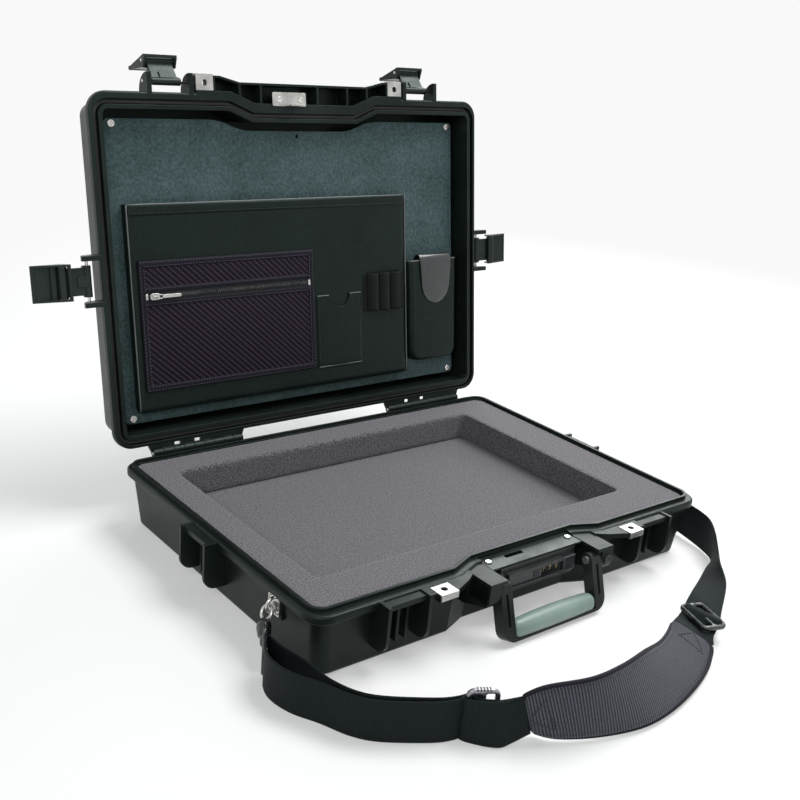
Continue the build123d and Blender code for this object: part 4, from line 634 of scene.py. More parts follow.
def slider_frame(name, origin, along, across, depth, bevel, material, notches):
    """Three bar slider with rounded corners; its top side may carry a row of grip notches."""
    span, length, bar = 28.0, 46.0, 4.4
    hole_wide = (span - 3 * bar) / 2
    hole_at = (hole_wide + bar) / 2
    holes = [rounded_rectangle(hole_wide, length - 2 * bar, 1.6, 4, (side * hole_at, 0))
             for side in (-1, 1)]
    frame_at = axes(origin, along, across)
    made = rounded_plate(name, rounded_rectangle(span, length, 7.0, 7), holes, depth, frame_at,
                         material, "base", bevel)
    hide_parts(name.replace("_frame", ""))
    points, faces = [], []
    for k in range(notches):
        points += [frame_at @ (Vector(((k - 2) * NOTCH_PITCH + dx, length / 2 - 0.9 + dy, dz)) * MM)
                   for dz in (-NOTCH_HALF_DEPTH, NOTCH_HALF_DEPTH) for dx, dy in NOTCH_OUTLINE]
        faces += skin(2, 4, 8 * k)
    if notches:
        teeth = piece(name + "_notches", points, faces, "dark_metal", "base")
        teeth.data.polygons.foreach_set("use_smooth", [False] * len(teeth.data.polygons))


slider_frame("left_slider_frame", (-177.5, -306.0, 24.0), SLIDE_ALONG, (0, 0, 1),
             3.8, 1.3, "slider_metal", 5)
slider_frame("right_slider_frame", (123.0, -297.5, 16.6), (-0.945, 0.33, 0), (-0.33, -0.945, 0),
             5.2, 2.2, "slider_dark", 0)

# Shoulder pad: a stuffed band with pulled in edges, then its bound edge and stitching.
PAD_ACROSS, PAD_ALONG, PAD_LENGTH, PAD_WIDTH = 16, 96, 290.0, 46.0
pad_low, pad_high = ([Vector(p) for p in edge] for edge in (
    ((-138.2, -327.1, 4.5), (-125.6, -343.8, 4.5), (-93.7, -360.8, 4.5), (-54.8, -371.8, 4.5),
     (-18.7, -371.5, 4.5), (24.5, -362.5, 4.5), (66.8, -347.4, 4.5), (100.0, -328.7, 9.0)),
    ((-154.5, -327.3, 44.0), (-140.1, -336.7, 53.0), (-104.8, -352.5, 57.5), (-68.0, -352.5, 57.0),
     (-27.0, -343.0, 52.0), (19.0, -324.5, 35.0), (57.5, -305.5, 22.0), (84.5, -291.0, 18.0))))


def pad_point(u, v):
    """Point of the pad's middle surface, with the corners of both ends rounded."""
    low, high = smooth_value(pad_low, u), smooth_value(pad_high, u)
    low_pull, high_pull = (corner_drop(radius, min(u, 1 - u) * PAD_LENGTH)
                           for radius in ((11.0, 6.0) if u < 0.5 else (14.0, 7.0)))
    across = (high - low).normalized()
    return (low + across * low_pull).lerp(high - across * high_pull, v) * MM


PAD_THIN, PAD_MORE, PAD_EASE = 2.6, 3.4, 12.0  # at the edge, what the middle adds, over how far


def pad_thick(u, v):
    """Thickness of the pad in mm: thin at its bound edge."""
    near = min(min(v, 1 - v) * PAD_WIDTH, min(u, 1 - u) * PAD_LENGTH)
    return PAD_THIN + PAD_MORE * math.sqrt(min(near / PAD_EASE, 1.0))


pad = slab("shoulder_pad_body", pad_point, PAD_ALONG, PAD_ACROSS, pad_thick, "pad", "base")
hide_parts("shoulder_pad")


def swell(thing, cap, pressure=4.0, frames=14):
    """Fills a closed piece with cloth simulation; no point moves further than cap mm."""
    start = [v.co.copy() for v in thing.data.vertices]
    cloth = thing.modifiers.new("cloth", "CLOTH")
    set_all(cloth.settings, use_pressure=True, uniform_pressure_force=pressure, quality=4,
            tension_stiffness=25, compression_stiffness=25, bending_stiffness=2.0)
    cloth.settings.effector_weights.gravity = 0
    cloth.collision_settings.use_collision = False
    for frame_number in range(1, frames + 1):
        scene.frame_set(frame_number)
    solved = thing.evaluated_get(bpy.context.evaluated_depsgraph_get()).data
    ends = [v.co.copy() for v in solved.vertices]
    thing.modifiers.remove(cloth)
    scene.frame_set(1)
    drift = sum((b - a for a, b in zip(start, ends)), Vector()) / len(start)
    for vertex, first, last in zip(thing.data.vertices, start, ends):
        move = last - first - drift
        if move.length > cap * MM:
            move *= cap * MM / move.length
        vertex.co = first + move
    thing.data.update()


swell(pad, 1.6)
subdivide = pad.modifiers.new("smooth", "SUBSURF")
subdivide.levels = subdivide.render_levels = 1


def pad_surface(u, v):
    """Point just over the outer face of the pad, after its filling."""
    i, j = u * PAD_ALONG, v * PAD_ACROSS
    i0, j0 = min(int(i), PAD_ALONG - 1), min(int(j), PAD_ACROSS - 1)
    near, near_up, far, far_up = (pad.data.vertices[a * (PAD_ACROSS + 1) + b].co
                                  for a in (i0, i0 + 1) for b in (j0, j0 + 1))
    outward = (far - near).cross(near_up - near).normalized()
    return near.lerp(far, i - i0).lerp(near_up.lerp(far_up, i - i0), j - j0) + outward * 0.1 * MM


border = trace(pad_point, ((0, 0), (1, 0), (1, 1), (0, 1), (0, 0)), (60, 8, 60, 8))[:-1]
tube("pad_binding", border, 2.0, "binding", "base", 10, True)
for label, corners in (("left", ((0.022, 0.44), (0.140, 0.20), (0.128, 0.80), (0.022, 0.44))),
                       ("right", ((0.975, 0.52), (0.89, 0.20), (0.89, 0.82), (0.975, 0.52)))):
    stitches(f"pad_stitch_{label}", trace(pad_surface, corners, 12), "base", 2.7, 0.6, 0.85)
SEAM_SHARE = 0.075  # how far in the pad's edge stitching runs, as a share of its width
for label, v in (("low", SEAM_SHARE), ("high", 1 - SEAM_SHARE)):
    row = trace(pad_surface, ((0.012, v), (0.988, v)), 60)
    stitches(f"pad_edge_stitch_{label}", row, "base", 2.4, 1.2, 0.32)


# ---- foam ----

def foam_piece(name, node_name, smooth):
    """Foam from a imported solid: remeshed, its edges softened and its faces a little uneven."""
    def soften(holder):
        set_all(holder.modifiers.new("remesh", "REMESH"), mode="VOXEL",
                voxel_size=2.4 * MM)
        set_all(holder.modifiers.new("ease", "SMOOTH"), iterations=smooth, factor=0.5)

    made = placed(name, mesh_of(name, nodes[node_name].data.copy(), soften), "foam", "base")
    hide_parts(node_name)


foam_piece("foam_block", "foam_frame", 3)
foam_piece("foam_floor", "foam_pad", 2)


# ---- organiser of the lid ----

LID_AT = lid_point(0, 0, 0)
LID_X, LID_Y = lid_point(1, 0, 0) - LID_AT, lid_point(0, 1, 0) - LID_AT
TO_VIEWER = LID_AT - lid_point(0, 0, 1)
CLOSING = 0.94  # share of a pocket's height above the turn that closes it below


def bag_point(left, right, top, bottom, front, back, corner, foot, bow, taper=0.0):
    """Surface of a pocket: a front with turned back sides, closed below, open above.

    The first number runs round the pocket from its left side to its right one, the second
    from its mouth down. foot is the rounding of the lower corners seen from the front.
    """
    depth = back - front
    side = depth / (right - left + 2 * depth)

    def point(u, v):
        down = min(v / CLOSING, 1.0)
        y = top + (bottom - top) * down
        pull = taper * down + corner_drop(foot, bottom - y)
        x0, x1 = left + pull, right - pull
        t = (u - side) / (1 - 2 * side)
        if 0 <= t <= 1:
            x = x0 + (x1 - x0) * t
            puff = bow * math.sin(math.pi * t) * math.sin(math.pi * down * 0.5 + 0.35)
            z = front + corner_drop(corner, min(x - x0, x1 - x)) - puff
        else:
            x, share = (x0, u / side) if t < 0 else (x1, (1 - u) / side)
            z = back - (depth - corner) * share
        if v > CLOSING:
            z += (back - z) * (v - CLOSING) / (1 - CLOSING)
        return lid_point(x, y, z)
    return point


def flat_point(left, right, top, bottom, z, bow=0.0):
    """Surface of a flat panel sewn on the organiser, its middle lifted by bow."""
    def point(u, v):
        lift = bow * math.sin(math.pi * u) * math.sin(math.pi * v)
        return lid_point(left + (right - left) * u, top + (bottom - top) * v, z - lift)
    return point


def lifted(surface, lift):
    """A surface brought nearer to the viewer by some mm."""
    return lambda u, v: surface(u, v) + TO_VIEWER * lift


def lid_line(*corners, steps=40):
    """Points on a polyline through corners given in the closed case's axes."""
    points = [Vector(first).lerp(Vector(second), k / steps)
              for first, second in zip(corners, corners[1:]) for k in range(steps)]
    return [lid_point(*point) for point in (*points, corners[-1])]


def lid_tube(name, *corners, radius=0.65):
    tube(name, lid_line(*corners), radius, "piping", "lid")


def lid_seam(name, first, last, steps, *style):
    """Row of stitches on the lid between two corners."""
    stitches(name, lid_line(first, last, steps=steps), "lid", *style)


def lid_sheet(name, point, columns, rows, thick, material, flat, rests_on, node_name=None):
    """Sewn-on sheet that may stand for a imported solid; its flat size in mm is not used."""
    made = slab(name, point, columns, rows, thick, material, "lid")
    if node_name:
        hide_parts(node_name)


# Liner panel: smaller than the lid's inside, its front edge following the notch of the rim.
LINER_X, LINER_FRONT, LINER_REAR, LINER_MIDDLE = 232.0, -157.4, 161.0, 88.25
half_liner = [(72.0, LINER_FRONT + 11.5, 14.0), (101.0, LINER_FRONT, 14.0),
              (LINER_X, LINER_FRONT, 6.0), (LINER_X, LINER_REAR, 6.0)]
liner_corners = half_liner + [(-x, y, cut) for x, y, cut in reversed(half_liner)]
VENT_RADIUS, VENT_Y = 2.1, -140.3
vent_hole = [(VENT_RADIUS * c, VENT_Y + VENT_RADIUS * s) for c, s in circle(24)]
liner_line = eased([Vector((x, y)) for x, y, cut in liner_corners],
                   [cut for x, y, cut in liner_corners], 6)
liner = rounded_plate("lid_liner", liner_line, [vent_hole], 2.5,
                      axes(lid_point(0, 0, LINER_MIDDLE) / MM, LID_X, LID_Y), "liner", "lid", 0.4)
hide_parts("liner_panel")

# File pocket: a leather front, turned back at its sides, with a piped edge.
FILE_LEFT, FILE_RIGHT, FILE_TOP, FILE_BOTTOM = -219.0, 148.0, -71.0, 149.0
lid_sheet("file_pocket_front",
          bag_point(FILE_LEFT, FILE_RIGHT, FILE_TOP, FILE_BOTTOM, 77.8, 86.4, 2.5, 3.0, 1.2),
          92, 48, 1.5, "leather", (384.0, 229.0), "lid_liner", "file_pocket")
lid_sheet("file_pocket_hem",
          flat_point(FILE_LEFT + 2, FILE_RIGHT - 2, FILE_TOP + 0.2, FILE_TOP + 11, 77.0, 0.5),
          80, 4, 1.2, "leather", (363.0, 10.8), "file_pocket_front")
FILE_PIPING = 0.85
lid_tube("file_piping_top", (FILE_LEFT + 1, FILE_TOP - 0.2, 77.2),
         (FILE_RIGHT - 1, FILE_TOP - 0.2, 77.2), radius=FILE_PIPING)
for label, x in (("left", FILE_LEFT + 0.4), ("right", FILE_RIGHT - 0.4)):
    lid_tube(f"file_piping_{label}", (x, FILE_TOP, 77.5), (x, FILE_BOTTOM - 2, 77.5),
             radius=FILE_PIPING)
lid_seam("file_hem_stitch", (FILE_LEFT + 4, FILE_TOP + 9, 76.0),
         (FILE_RIGHT - 4, FILE_TOP + 9, 76.0), 120)

# Zipped pocket: twill above and below the zip, bound all round.
ZIP_LEFT, ZIP_RIGHT, ZIP_TOP, ZIP_BOTTOM, ZIP_LINE, BIND = -211.0, 7.0, -13.0, 126.0, 24.4, 6.4
for label, top, bottom, z, bow, grid, thick, height, node_name in (
        ("upper", ZIP_TOP + 1, ZIP_LINE - 3.4, 74.9, 0.5, (60, 12), 1.4, 33.0, "zip_pocket"),
        ("lower", ZIP_LINE + 3.4, ZIP_BOTTOM - 1, 74.9, 1.5, (60, 30), 1.4, 97.2, None),
        ("back", ZIP_TOP + 1, ZIP_BOTTOM - 1, 76.3, 0.0, (30, 20), 0.7, 137.0, None)):
    lid_sheet(f"zip_panel_{label}", flat_point(ZIP_LEFT + 1, ZIP_RIGHT - 1, top, bottom, z, bow),
              *grid, thick, "nylon", (216.0, height), "file_pocket_front", node_name)


def edge_binding(name, start, end, across, lift):
    """Binding tape folded round the pocket's edge: its face, its turn and its hidden back."""
    start, end, across = (Vector((*p, 0)) for p in (start, end, across))
    face_z, back_z = 74.2 - lift, 76.3
    turn = 0.18  # share of the tape on the back, and again over the edge
    face = 2 * turn

    def point(u, v):
        if v < turn:
            inward, z = 0.30 * (1 - v / turn), back_z
        elif v < face:
            inward, z = 0.0, back_z + (face_z - back_z) * (v - turn) / turn
        else:
            inward = (v - face) / 0.64
            z = face_z - 0.35 * math.sin(math.pi * inward)
        at = start.lerp(end, u) + across * inward
        return lid_point(at.x, at.y, z)
    lid_sheet(name, point, 60, 14, 0.8, "binding",
              (1.3 * across.length + back_z - face_z, (end - start).length), "file_pocket_front")


for label, start, end, across, lift in (
        ("top", (ZIP_LEFT, ZIP_TOP), (ZIP_RIGHT, ZIP_TOP), (0, BIND), 0.5),
        ("bottom", (ZIP_LEFT, ZIP_BOTTOM), (ZIP_RIGHT, ZIP_BOTTOM), (0, -BIND), 0.5),
        ("left", (ZIP_LEFT, ZIP_TOP), (ZIP_LEFT, ZIP_BOTTOM), (BIND, 0), 0.0),
        ("right", (ZIP_RIGHT, ZIP_TOP), (ZIP_RIGHT, ZIP_BOTTOM), (-BIND, 0), 0.0)):
    edge_binding(f"zip_binding_{label}", start, end, across, lift)
for row, gap in enumerate((1.2, 5.4)):
    left, right, top, bottom = ZIP_LEFT + gap, ZIP_RIGHT - gap, ZIP_TOP + gap, ZIP_BOTTOM - gap
    loop = lid_line((left, top, 73.1), (right, top, 73.1), (right, bottom, 73.3),
                    (left, bottom, 73.1), (left, top, 73.1), steps=60)
    stitches(f"zip_stitch_{row}", loop, "lid", 2.4, 1.2, 0.36, "thread_light")


FOLD_START, FOLD_WIDE, FOLD_SEAM = 4.6, 5.0, 8.4  # from the zip's line


def fold_point(y, across):
    """Surface of the crowned fold beside the zip, from a line at y, across it."""
    return lambda u, v: lid_point(ZIP_LEFT + 4 + (ZIP_RIGHT - ZIP_LEFT - 8) * u, y + across * v,
                                  74.0 - 0.35 * math.sin(math.pi * v))


for side, sign in (("upper", -1), ("lower", 1)):
    fold = fold_point(ZIP_LINE + sign * FOLD_START, sign * FOLD_WIDE)
    slab(f"zip_fold_{side}", fold, 60, 6, 1.2, "binding", "lid")
    y = ZIP_LINE + sign * FOLD_SEAM
    lid_seam(f"zip_fold_stitch_{side}", (ZIP_LEFT + 6, y, 73.0), (ZIP_RIGHT - 6, y, 73.0), 80,
             2.4, 1.2, 0.34, "thread_light")

# Zip: tape, interlocked coil, slider with its pull, and stops.
lid_sheet("zip_tape", flat_point(ZIP_LEFT + 4, ZIP_RIGHT - 4, ZIP_LINE - 5.2, ZIP_LINE + 5.2, 73.9),
          60, 6, 0.7, "zip", (210.0, 10.4), "zip_panel_lower", "zip_track")
points, faces = [], []
TOOTH, PITCH, TOOTH_SIDES = 2.5, 1.35, 6
TOOTH_SHAPE = ((-0.35, 0.35), (0.0, 0.62), (0.7, 0.62), (1.0, 0.4))  # (share across, radius)
for k in range(int((ZIP_RIGHT - ZIP_LEFT - 18) / PITCH)):
    faces += skin(len(TOOTH_SHAPE), TOOTH_SIDES, len(points))
    x, sign = ZIP_LEFT + 9 + k * PITCH, 1 if k % 2 else -1
    for t, r in TOOTH_SHAPE:
        points += [lid_point(x + c * r, ZIP_LINE + sign * TOOTH * t, 73.15 + s * r * 0.8)
                   for c, s in circle(TOOTH_SIDES)]
piece("zip_coil", points, faces, "zip_coil", "lid")


def zip_part(name, x0, x1, half, z0, z1, radius, body="zip_slider", wall=None):
    """Rounded metal block on the zip's line, or a flat loop where it has a wall."""
    holes = ()
    if wall:
        holes = [rounded_rectangle(x1 - x0 - 2 * wall, 2 * half - 2 * wall, radius - wall)]
    frame_at = axes(lid_point((x0 + x1) / 2, ZIP_LINE, (z0 + z1) / 2) / MM, LID_X, LID_Y)
    return rounded_plate(name, rounded_rectangle(x1 - x0, 2 * half, radius), holes, z1 - z0,
                         frame_at, "steel", body, (z1 - z0) * (0.3 if wall else 0.35))


SLIDE_X = ZIP_LEFT + 10
slider = zip_part("zip_slider_body", SLIDE_X, SLIDE_X + 11, 3.6, 71.4, 72.6, 2.4)
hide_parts("zip_slider")
zip_part("zip_slider_bridge", SLIDE_X + 2.5, SLIDE_X + 9.5, 1.1, 70.2, 71.6, 1.0)
zip_part("zip_pull_ring", SLIDE_X + 6.5, SLIDE_X + 14.5, 2.4, 69.7, 70.6, 2.2, wall=0.9)
zip_part("zip_pull_tab", SLIDE_X + 13.4, SLIDE_X + 35.0, 1.9, 69.5, 70.5, 1.5)
for label, x in (("start", ZIP_LEFT + 5.2), ("end", ZIP_RIGHT - 8.0)):
    zip_part(f"zip_stop_{label}", x, x + 2.8, 3.2, 72.3, 73.7, 0.8, "lid")

# Card pocket with its half round cut.
CARD_LEFT, CARD_RIGHT, CARD_TOP, CARD_BOTTOM, CUT = 12.0, 76.0, 42.0, 127.5, 15.0
CARD_MIDDLE, CARD_WIDE = (CARD_LEFT + CARD_RIGHT) / 2, CARD_RIGHT - CARD_LEFT
card_x = [CARD_LEFT + CARD_WIDE * k / 24 for k in range(25)]
card_columns = sorted(
    {round(x, 3) for x in card_x if abs(x - CARD_MIDDLE) > CUT + 0.6}
    | {round(CARD_MIDDLE + CUT * math.sin(math.pi * (k / 16 - 0.5)), 3) for k in range(17)}
    | {CARD_MIDDLE - CUT - 0.5, CARD_MIDDLE + CUT + 0.5})


def card_point(u, v):
    """Point of the card pocket's front, whose columns crowd together at the cut."""
    x = card_columns[int(round(u * (len(card_columns) - 1)))]
    top = CARD_TOP + math.sqrt(max(CUT ** 2 - (x - CARD_MIDDLE) ** 2, 0))
    lift = 0.7 * math.sin(math.pi * (x - CARD_LEFT) / CARD_WIDE) * math.sin(math.pi * v * 0.5 + 0.8)
    return lid_point(x, top + (CARD_BOTTOM - top) * v, 75.6 - lift)


card = slab("card_pocket_front", card_point, len(card_columns) - 1, 20, 1.3, "leather", "lid")
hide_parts("card_pocket")
lid_tube("card_piping_left", (CARD_LEFT + 0.3, CARD_TOP, 74.9),
         (CARD_MIDDLE - CUT - 0.4, CARD_TOP, 74.7))
lid_tube("card_piping_right", (CARD_MIDDLE + CUT + 0.4, CARD_TOP, 74.7),
         (CARD_RIGHT - 0.3, CARD_TOP, 74.9))
lid_tube("card_piping_foot", (CARD_LEFT + 0.5, CARD_BOTTOM - 0.5, 75.0),
         (CARD_RIGHT - 0.5, CARD_BOTTOM - 0.5, 75.0))
EDGE_RADIUS = CUT + 0.2
cut_line = [lid_point(CARD_MIDDLE + EDGE_RADIUS * math.cos(a), CARD_TOP + EDGE_RADIUS * math.sin(a),
                      74.8) for a in (math.pi * k / 30 for k in range(31))]
tube("card_cut_edge", cut_line, 0.55, "leather", "lid")
for label, x in (("left", CARD_LEFT + 2.2), ("right", CARD_RIGHT - 2.2)):
    lid_seam(f"card_stitch_{label}", (x, CARD_TOP + 2, 74.85), (x, CARD_BOTTOM - 3, 74.85), 60,
             2.2, 1.2, 0.28)

# Elastic band with three loops for pens.
PEN_LEFT, PEN_TOP, PEN_BOTTOM, PENS, PEN_WIDE, PEN_MARGIN = 86.0, 21.0, 66.0, 3, 17.0, 5.0
PEN_RISE, PEN_ROUND, PEN_FLAT = 7.0, 0.55, 76.3  # height and shape of a loop, depth of the flats


def pen_point(u, v):
    """Point of the elastic, which stands out as a round loop over each pen."""
    x = PEN_LEFT - PEN_MARGIN + (PENS * PEN_WIDE + 2 * PEN_MARGIN) * u
    place = (x - PEN_LEFT) / PEN_WIDE
    rise = 0.0
    if 0 < place < PENS:
        rise = PEN_RISE * min(1.0, math.sin(math.pi * (place % 1)) ** PEN_ROUND)
    return lid_point(x, PEN_TOP + (PEN_BOTTOM - PEN_TOP) * v, PEN_FLAT - rise)


lid_sheet("pen_band", pen_point, 150, 22, 1.1, "elastic", (96.0, 45.0), "file_pocket_front",
          "pen_loops")
for k in range(PENS + 1):
    x = PEN_LEFT + k * PEN_WIDE
    lid_seam(f"pen_stitch_{k}", (x, PEN_TOP + 1, 75.6), (x, PEN_BOTTOM - 1, 75.6), 50,
             2.0, 1.0, 0.3)

# Phone holster: leather body with rounded foot, piped mouth and seams, then its curled flap.
HOLD_LEFT, HOLD_RIGHT, HOLD_TOP, HOLD_BOTTOM = 151.0, 227.0, 10.0, 136.0
HOLD_FRONT, HOLD_BACK = 72.4, 86.2
holster = bag_point(HOLD_LEFT, HOLD_RIGHT, HOLD_TOP, HOLD_BOTTOM, HOLD_FRONT, HOLD_BACK,
                    5.0, 12.0, 0.8, 1.6)
lid_sheet("holster_body", holster, 56, 44, 1.8, "leather", (101.0, 142.0), "lid_liner",
          "phone_holster")
lid_sheet("holster_back",
          flat_point(HOLD_LEFT + 2, HOLD_RIGHT - 2, HOLD_TOP - 0.5, HOLD_BOTTOM - 12, 86.0),
          20, 30, 1.0, "leather", (72.0, 114.5), "lid_liner")
SIDE = (HOLD_BACK - HOLD_FRONT) / (HOLD_RIGHT - HOLD_LEFT + 2 * (HOLD_BACK - HOLD_FRONT))
for label, u in (("left", SIDE + 0.055), ("right", 1 - SIDE - 0.055)):
    stitches(f"holster_stitch_{label}", trace(lifted(holster, 0.9), ((u, 0.01), (u, 0.88)), 120),
             "lid", 2.4, 1.3, 0.3)
for label, u0, u1 in (("left", SIDE * 0.2, SIDE + 0.17),
                      ("right", 1 - SIDE - 0.17, 1 - SIDE * 0.2)):
    tube(f"holster_piping_{label}", trace(lifted(holster, 0.3), ((u0, 0.0), (u1, 0.0)), 40), 0.8,
         "piping", "lid")

FLAP_MIDDLE, FLAP_HALF, FLAP_WAIST, FLAP_END = 191.0, 25.0, 3.5, 64.0
FLAP_CURL = 1.35  # crowds the flap's rows at its curl
flap_path = [Vector(p) for p in (
    (12.0, 83.6), (7.4, 81.8), (4.0, 77.8), (3.0, 74.0), (6.4, 70.4),
    (14.0, 68.9), (28.0, 68.6), (44.0, 69.2), (58.0, 70.0), (FLAP_END, 70.4))]


def flap_point(u, v):
    """Point of the flap: a curl over the mouth, a slight waist, then a round end."""
    t = 1 - (1 - v) ** FLAP_CURL
    at = smooth_value(flap_path, t)
    half = FLAP_HALF - FLAP_WAIST * min(max((at.x - 6) / 40, 0), 1)
    if t > 0.45 and FLAP_END - at.x < half:
        half = math.sqrt(max(half ** 2 - (half - (FLAP_END - at.x)) ** 2, 0.2))
    side = 2 * u - 1
    return lid_point(FLAP_MIDDLE + half * side, at.x, at.y + 1.1 * side ** 2 * min(t * 2, 1))


flap = slab("holster_flap_leather", flap_point, 28, 48, 1.9, "flap_leather", "holster_flap")
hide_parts("holster_flap")
flap_rim = ((0.07, 0.243), (0.07, 0.972), (0.93, 0.972), (0.93, 0.243))
stitches("flap_stitch", trace(lifted(flap_point, 0.95), flap_rim, (59, 20, 59)), "holster_flap",
         2.2, 1.1, 0.32, "thread_light")


# ---- lock, handle and hooks ----

DIAL_RADIUS, DIAL_X, DIAL_PITCH, DIAL_Y, DIAL_Z = 6.2, 8.0, 8.7, -181.6, 47.0
DIGIT_SIZE, FIRST_TURN, DIGIT_TURN = 4.3, 162, 36


def number_ring(name, x, body):
    """Ten raised numbers round a dial, between its notches."""
    work = bmesh.new()
    for k in range(10):
        mesh = mesh_of(name, set_all(
            bpy.data.curves.new(f"{name}_{k}", "FONT"), body=str(k), size=DIGIT_SIZE * MM,
            align_x="CENTER", align_y="CENTER", extrude=0.08 * MM, resolution_u=3))
        turn = math.radians(FIRST_TURN - DIGIT_TURN * k)
        out = Vector((0, math.cos(turn), math.sin(turn)))
        at = Vector((x, DIAL_Y, DIAL_Z)) + out * (DIAL_RADIUS + 0.03)
        mesh.transform(axes(at, (1, 0, 0), (0, math.sin(turn), -math.cos(turn))))
        work.from_mesh(mesh)
        bpy.data.meshes.remove(mesh)
    joined = bpy.data.meshes.new(name)
    work.to_mesh(joined)
    work.free()
    placed(name, joined, "digit", body, smooth=False)


for k in range(3):
    number_ring(f"dial_numbers_{k + 1}", DIAL_X + DIAL_PITCH * k, f"lock_dial_{k + 1}")
# Pale tube along the lock cover's top front edge: a painted highlight.
COVER_LEFT, COVER_RIGHT, COVER_EDGE = -40.5, 1.5, (-190.3, 53.2)
tube("cover_edge_highlight", [Vector((COVER_LEFT + (COVER_RIGHT - COVER_LEFT) * k / 12, *COVER_EDGE)) * MM
                    for k in range(13)], 0.7, "painted_highlight_edge", "lock_cover")

# Grip: crowned along its length, flat where it sits on its strip, with domed ends.
LEAN, GRIP_RADIUS = math.radians(18), 41.0
grip_down = Vector((0, -math.sin(LEAN), -math.cos(LEAN)))
grip_out = Vector((0, -math.cos(LEAN), math.sin(LEAN)))
grip_centre = Vector((0, -201.0, 51.5)) + grip_down * GRIP_RADIUS
GRIP_END, GRIP_DEEP, GRIP_TALL, GRIP_FLAT, GRIP_DOME, GRIP_SIDES = 53.4, 9.9, 10.4, 7.35, 5.0, 40
GRIP_CROWN, GRIP_DROP, GRIP_BLUNT = 0.20, 0.38, 0.9  # thinning to the ends, dome, squareness
stations = sorted({-1 + 2 * k / 60 for k in range(61)}
                  | {s * e for s in (-1, 1) for e in (0.955, 0.97, 0.98, 0.988, 0.994, 0.998)})
points, uvs = [], []
for t in stations:
    crown = 1 - GRIP_CROWN * t * t
    dome = 1 - GRIP_DROP * corner_drop(GRIP_DOME, (1 - abs(t)) * GRIP_END) / GRIP_DOME
    for n, (c, s) in enumerate(circle(GRIP_SIDES)):
        deep = GRIP_DEEP * crown * dome * math.copysign(abs(c) ** GRIP_BLUNT, c)
        tall = (GRIP_TALL * dome * (crown if s < 0 else 1)
                * math.copysign(abs(s) ** GRIP_BLUNT, s))
        points.append((Vector((t * GRIP_END, 0, 0)) + grip_centre + grip_out * deep
                       + grip_down * min(tall, GRIP_FLAT)) * MM)
        uvs.append((t * GRIP_END * MM, n * 1.6 * MM))
grip = piece("grip_sleeve", points, skin(len(stations), GRIP_SIDES), "grip", "handle", uvs)
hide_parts("handle_grip")

# Snap hooks: ring, dark swivel body and the wide wire loop of the webbing.
HOOK_TILT = math.radians(30)
RING_RADIUS, LOOP_LOW, LOOP_HIGH, LOOP_SPAN = 6.5, 2.1, 44.5, 9.0
hook_profile = ((0.0, 2.8), (0.05, 3.6), (0.10, 4.6), (0.15, 6.6), (0.22, 7.9), (0.34, 8.2),
                (0.48, 7.4), (0.56, 7.2), (0.62, 5.0), (0.68, 4.4), (0.74, 5.2), (0.88, 5.2),
                (0.96, 3.8), (1.0, 2.6))  # (share of its length, radius)
for label, side in (("left", -1), ("right", 1)):
    through = Vector((side * 253.6, -112.0, 45.0))
    fall = Vector((side * math.sin(HOOK_TILT), 0, -math.cos(HOOK_TILT)))
    ring = [(through + fall * RING_RADIUS * (1 + c) + Vector((0, 1, 0)) * RING_RADIUS * s) * MM
            for c, s in circle(40)]
    neck = through + fall * 2 * RING_RADIUS
    bar = Vector((side * 279.0, -144.0, 0))
    rear = bar + (Vector((through.x, through.y, 0)) - bar).normalized() * LOOP_SPAN
    reach = Vector((rear.x, rear.y, (LOOP_LOW + LOOP_HIGH) / 2)) - neck
    body_line = [(neck + reach * t) * MM for t, radius in hook_profile]
    radii = [radius for t, radius in hook_profile]
    corners = [Vector((p.x, p.y, z)) for p, z in ((bar, LOOP_LOW), (bar, LOOP_HIGH),
                                                  (rear, LOOP_HIGH), (rear, LOOP_LOW))]
    loop = [p * MM for p in eased(corners, (2.0,) * 4, 4)]
    for made in (tube(f"{label}_hook_ring", ring, 1.6, "steel", "base", 12, True),
                 tube(f"{label}_hook_body", body_line, lambda t: smooth_value(radii, t),
                      "hook_black", "base", 20, squash=0.8, flat=Vector((side, 0, 0))),
                 tube(f"{label}_hook_loop", loop, 1.65, "slider_dark", "base", 10, True)):
        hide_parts(f"{label}_snap_hook")


# ---- camera, light and floor ----

# Camera fitted to the photograph.
IMAGE_SIZE, FOCAL_PIXELS, CENTRE_PIXEL, SENSOR = 800, 1094.42, (414.58, 438.59), 36.0
CAMERA_AT = (-0.71358, -0.81019, 0.540)
azimuth, tilt, roll = (math.radians(a) for a in (40.98, -21.49, 5.65))
forward = Vector((math.sin(azimuth) * math.cos(tilt), math.cos(azimuth) * math.cos(tilt),
                  math.sin(tilt)))
level = forward.cross(Vector((0, 0, 1))).normalized()
upward = level.cross(forward)
camera = linked("camera", bpy.data.cameras.new("camera"))
camera.matrix_world = matrix_of(
    level * math.cos(roll) + upward * math.sin(roll),
    upward * math.cos(roll) - level * math.sin(roll), -forward, CAMERA_AT)
set_all(camera.data, sensor_width=SENSOR, sensor_fit="HORIZONTAL",
        lens=SENSOR * FOCAL_PIXELS / IMAGE_SIZE, clip_start=0.02, clip_end=100,
        shift_x=(IMAGE_SIZE / 2 - CENTRE_PIXEL[0]) / IMAGE_SIZE,
        shift_y=(CENTRE_PIXEL[1] - IMAGE_SIZE / 2) / IMAGE_SIZE)
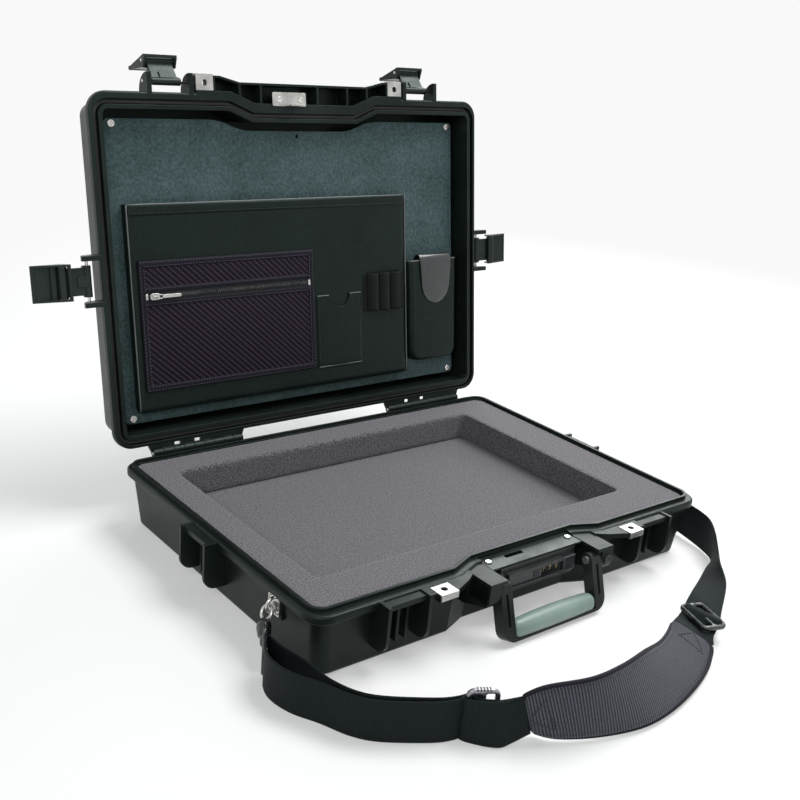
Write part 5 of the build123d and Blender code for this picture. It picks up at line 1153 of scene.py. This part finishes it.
scene.camera = camera
scene.view_settings.view_transform = "Standard"

# Softboxes: name, place, the point that each looks at, size and power.
for name, at, target, size, power in (
        ("key", (0.85, -0.25, 2.0), (0, -0.05, 0.1), (1.3, 1.1), 43),
        ("back", (1.5, 1.35, 1.15), (0.05, -0.1, 0.08), (1.6, 1.0), 24),
        ("side", (-1.5, -1.2, 1.3), (-0.1, 0.2, 0.3), (0.9, 0.7), 14)):
    lamp = linked(name, set_all(bpy.data.lights.new(name, "AREA"), shape="RECTANGLE",
                                size=size[0], size_y=size[1], energy=power))
    lamp.location = at
    lamp.rotation_euler = (Vector(target) - Vector(at)).to_track_quat("-Z", "Y").to_euler()

BACKGROUND = 0.95
scene.world = bpy.data.worlds.new("studio")
scene.world.use_nodes = True
studio = Shading(scene.world.node_tree)
ambient = studio.tree.nodes["Background"]
studio.put(ambient, "Color", (0.86, 0.95, 0.92, 1))
studio.put(ambient, "Strength", 0.26)
studio.blend(studio.background_rays(), ambient,
             studio.node("Background", Color=WHITE, Strength=BACKGROUND),
             studio.tree.nodes["World Output"].inputs["Surface"])

# Pale floor: lit near the case, where it holds the shadow, and plain white far off.
FLOOR_REACH, FLOOR_DROP = 14.0, 0.0006
floor_mesh = bpy.data.meshes.new("floor")
floor_mesh.from_pydata([(x * FLOOR_REACH, y * FLOOR_REACH, -FLOOR_DROP)
                        for x, y in ((-1, -1), (1, -1), (1, 1), (-1, 1))], [], [(0, 1, 2, 3)])
linked("floor", floor_mesh)
paper = Paint("floor", 0.85)
paper.put(paper.shader, "Base_Color", (0.93, 0.935, 0.93, 1))
distance = paper.node("VectorMath", operation="LENGTH")
paper.wire(paper.coordinates(), distance.inputs[0])
far = paper.remap(distance.outputs["Value"], 0.75, 1.9, 0.36, 1.0)
paper.blend(paper.combine("MULTIPLY", far, paper.background_rays()), paper.shader,
            paper.node("Emission", Color=WHITE, Strength=BACKGROUND),
            paper.tree.nodes["Material Output"].inputs["Surface"])
floor_mesh.materials.append(materials["floor"])
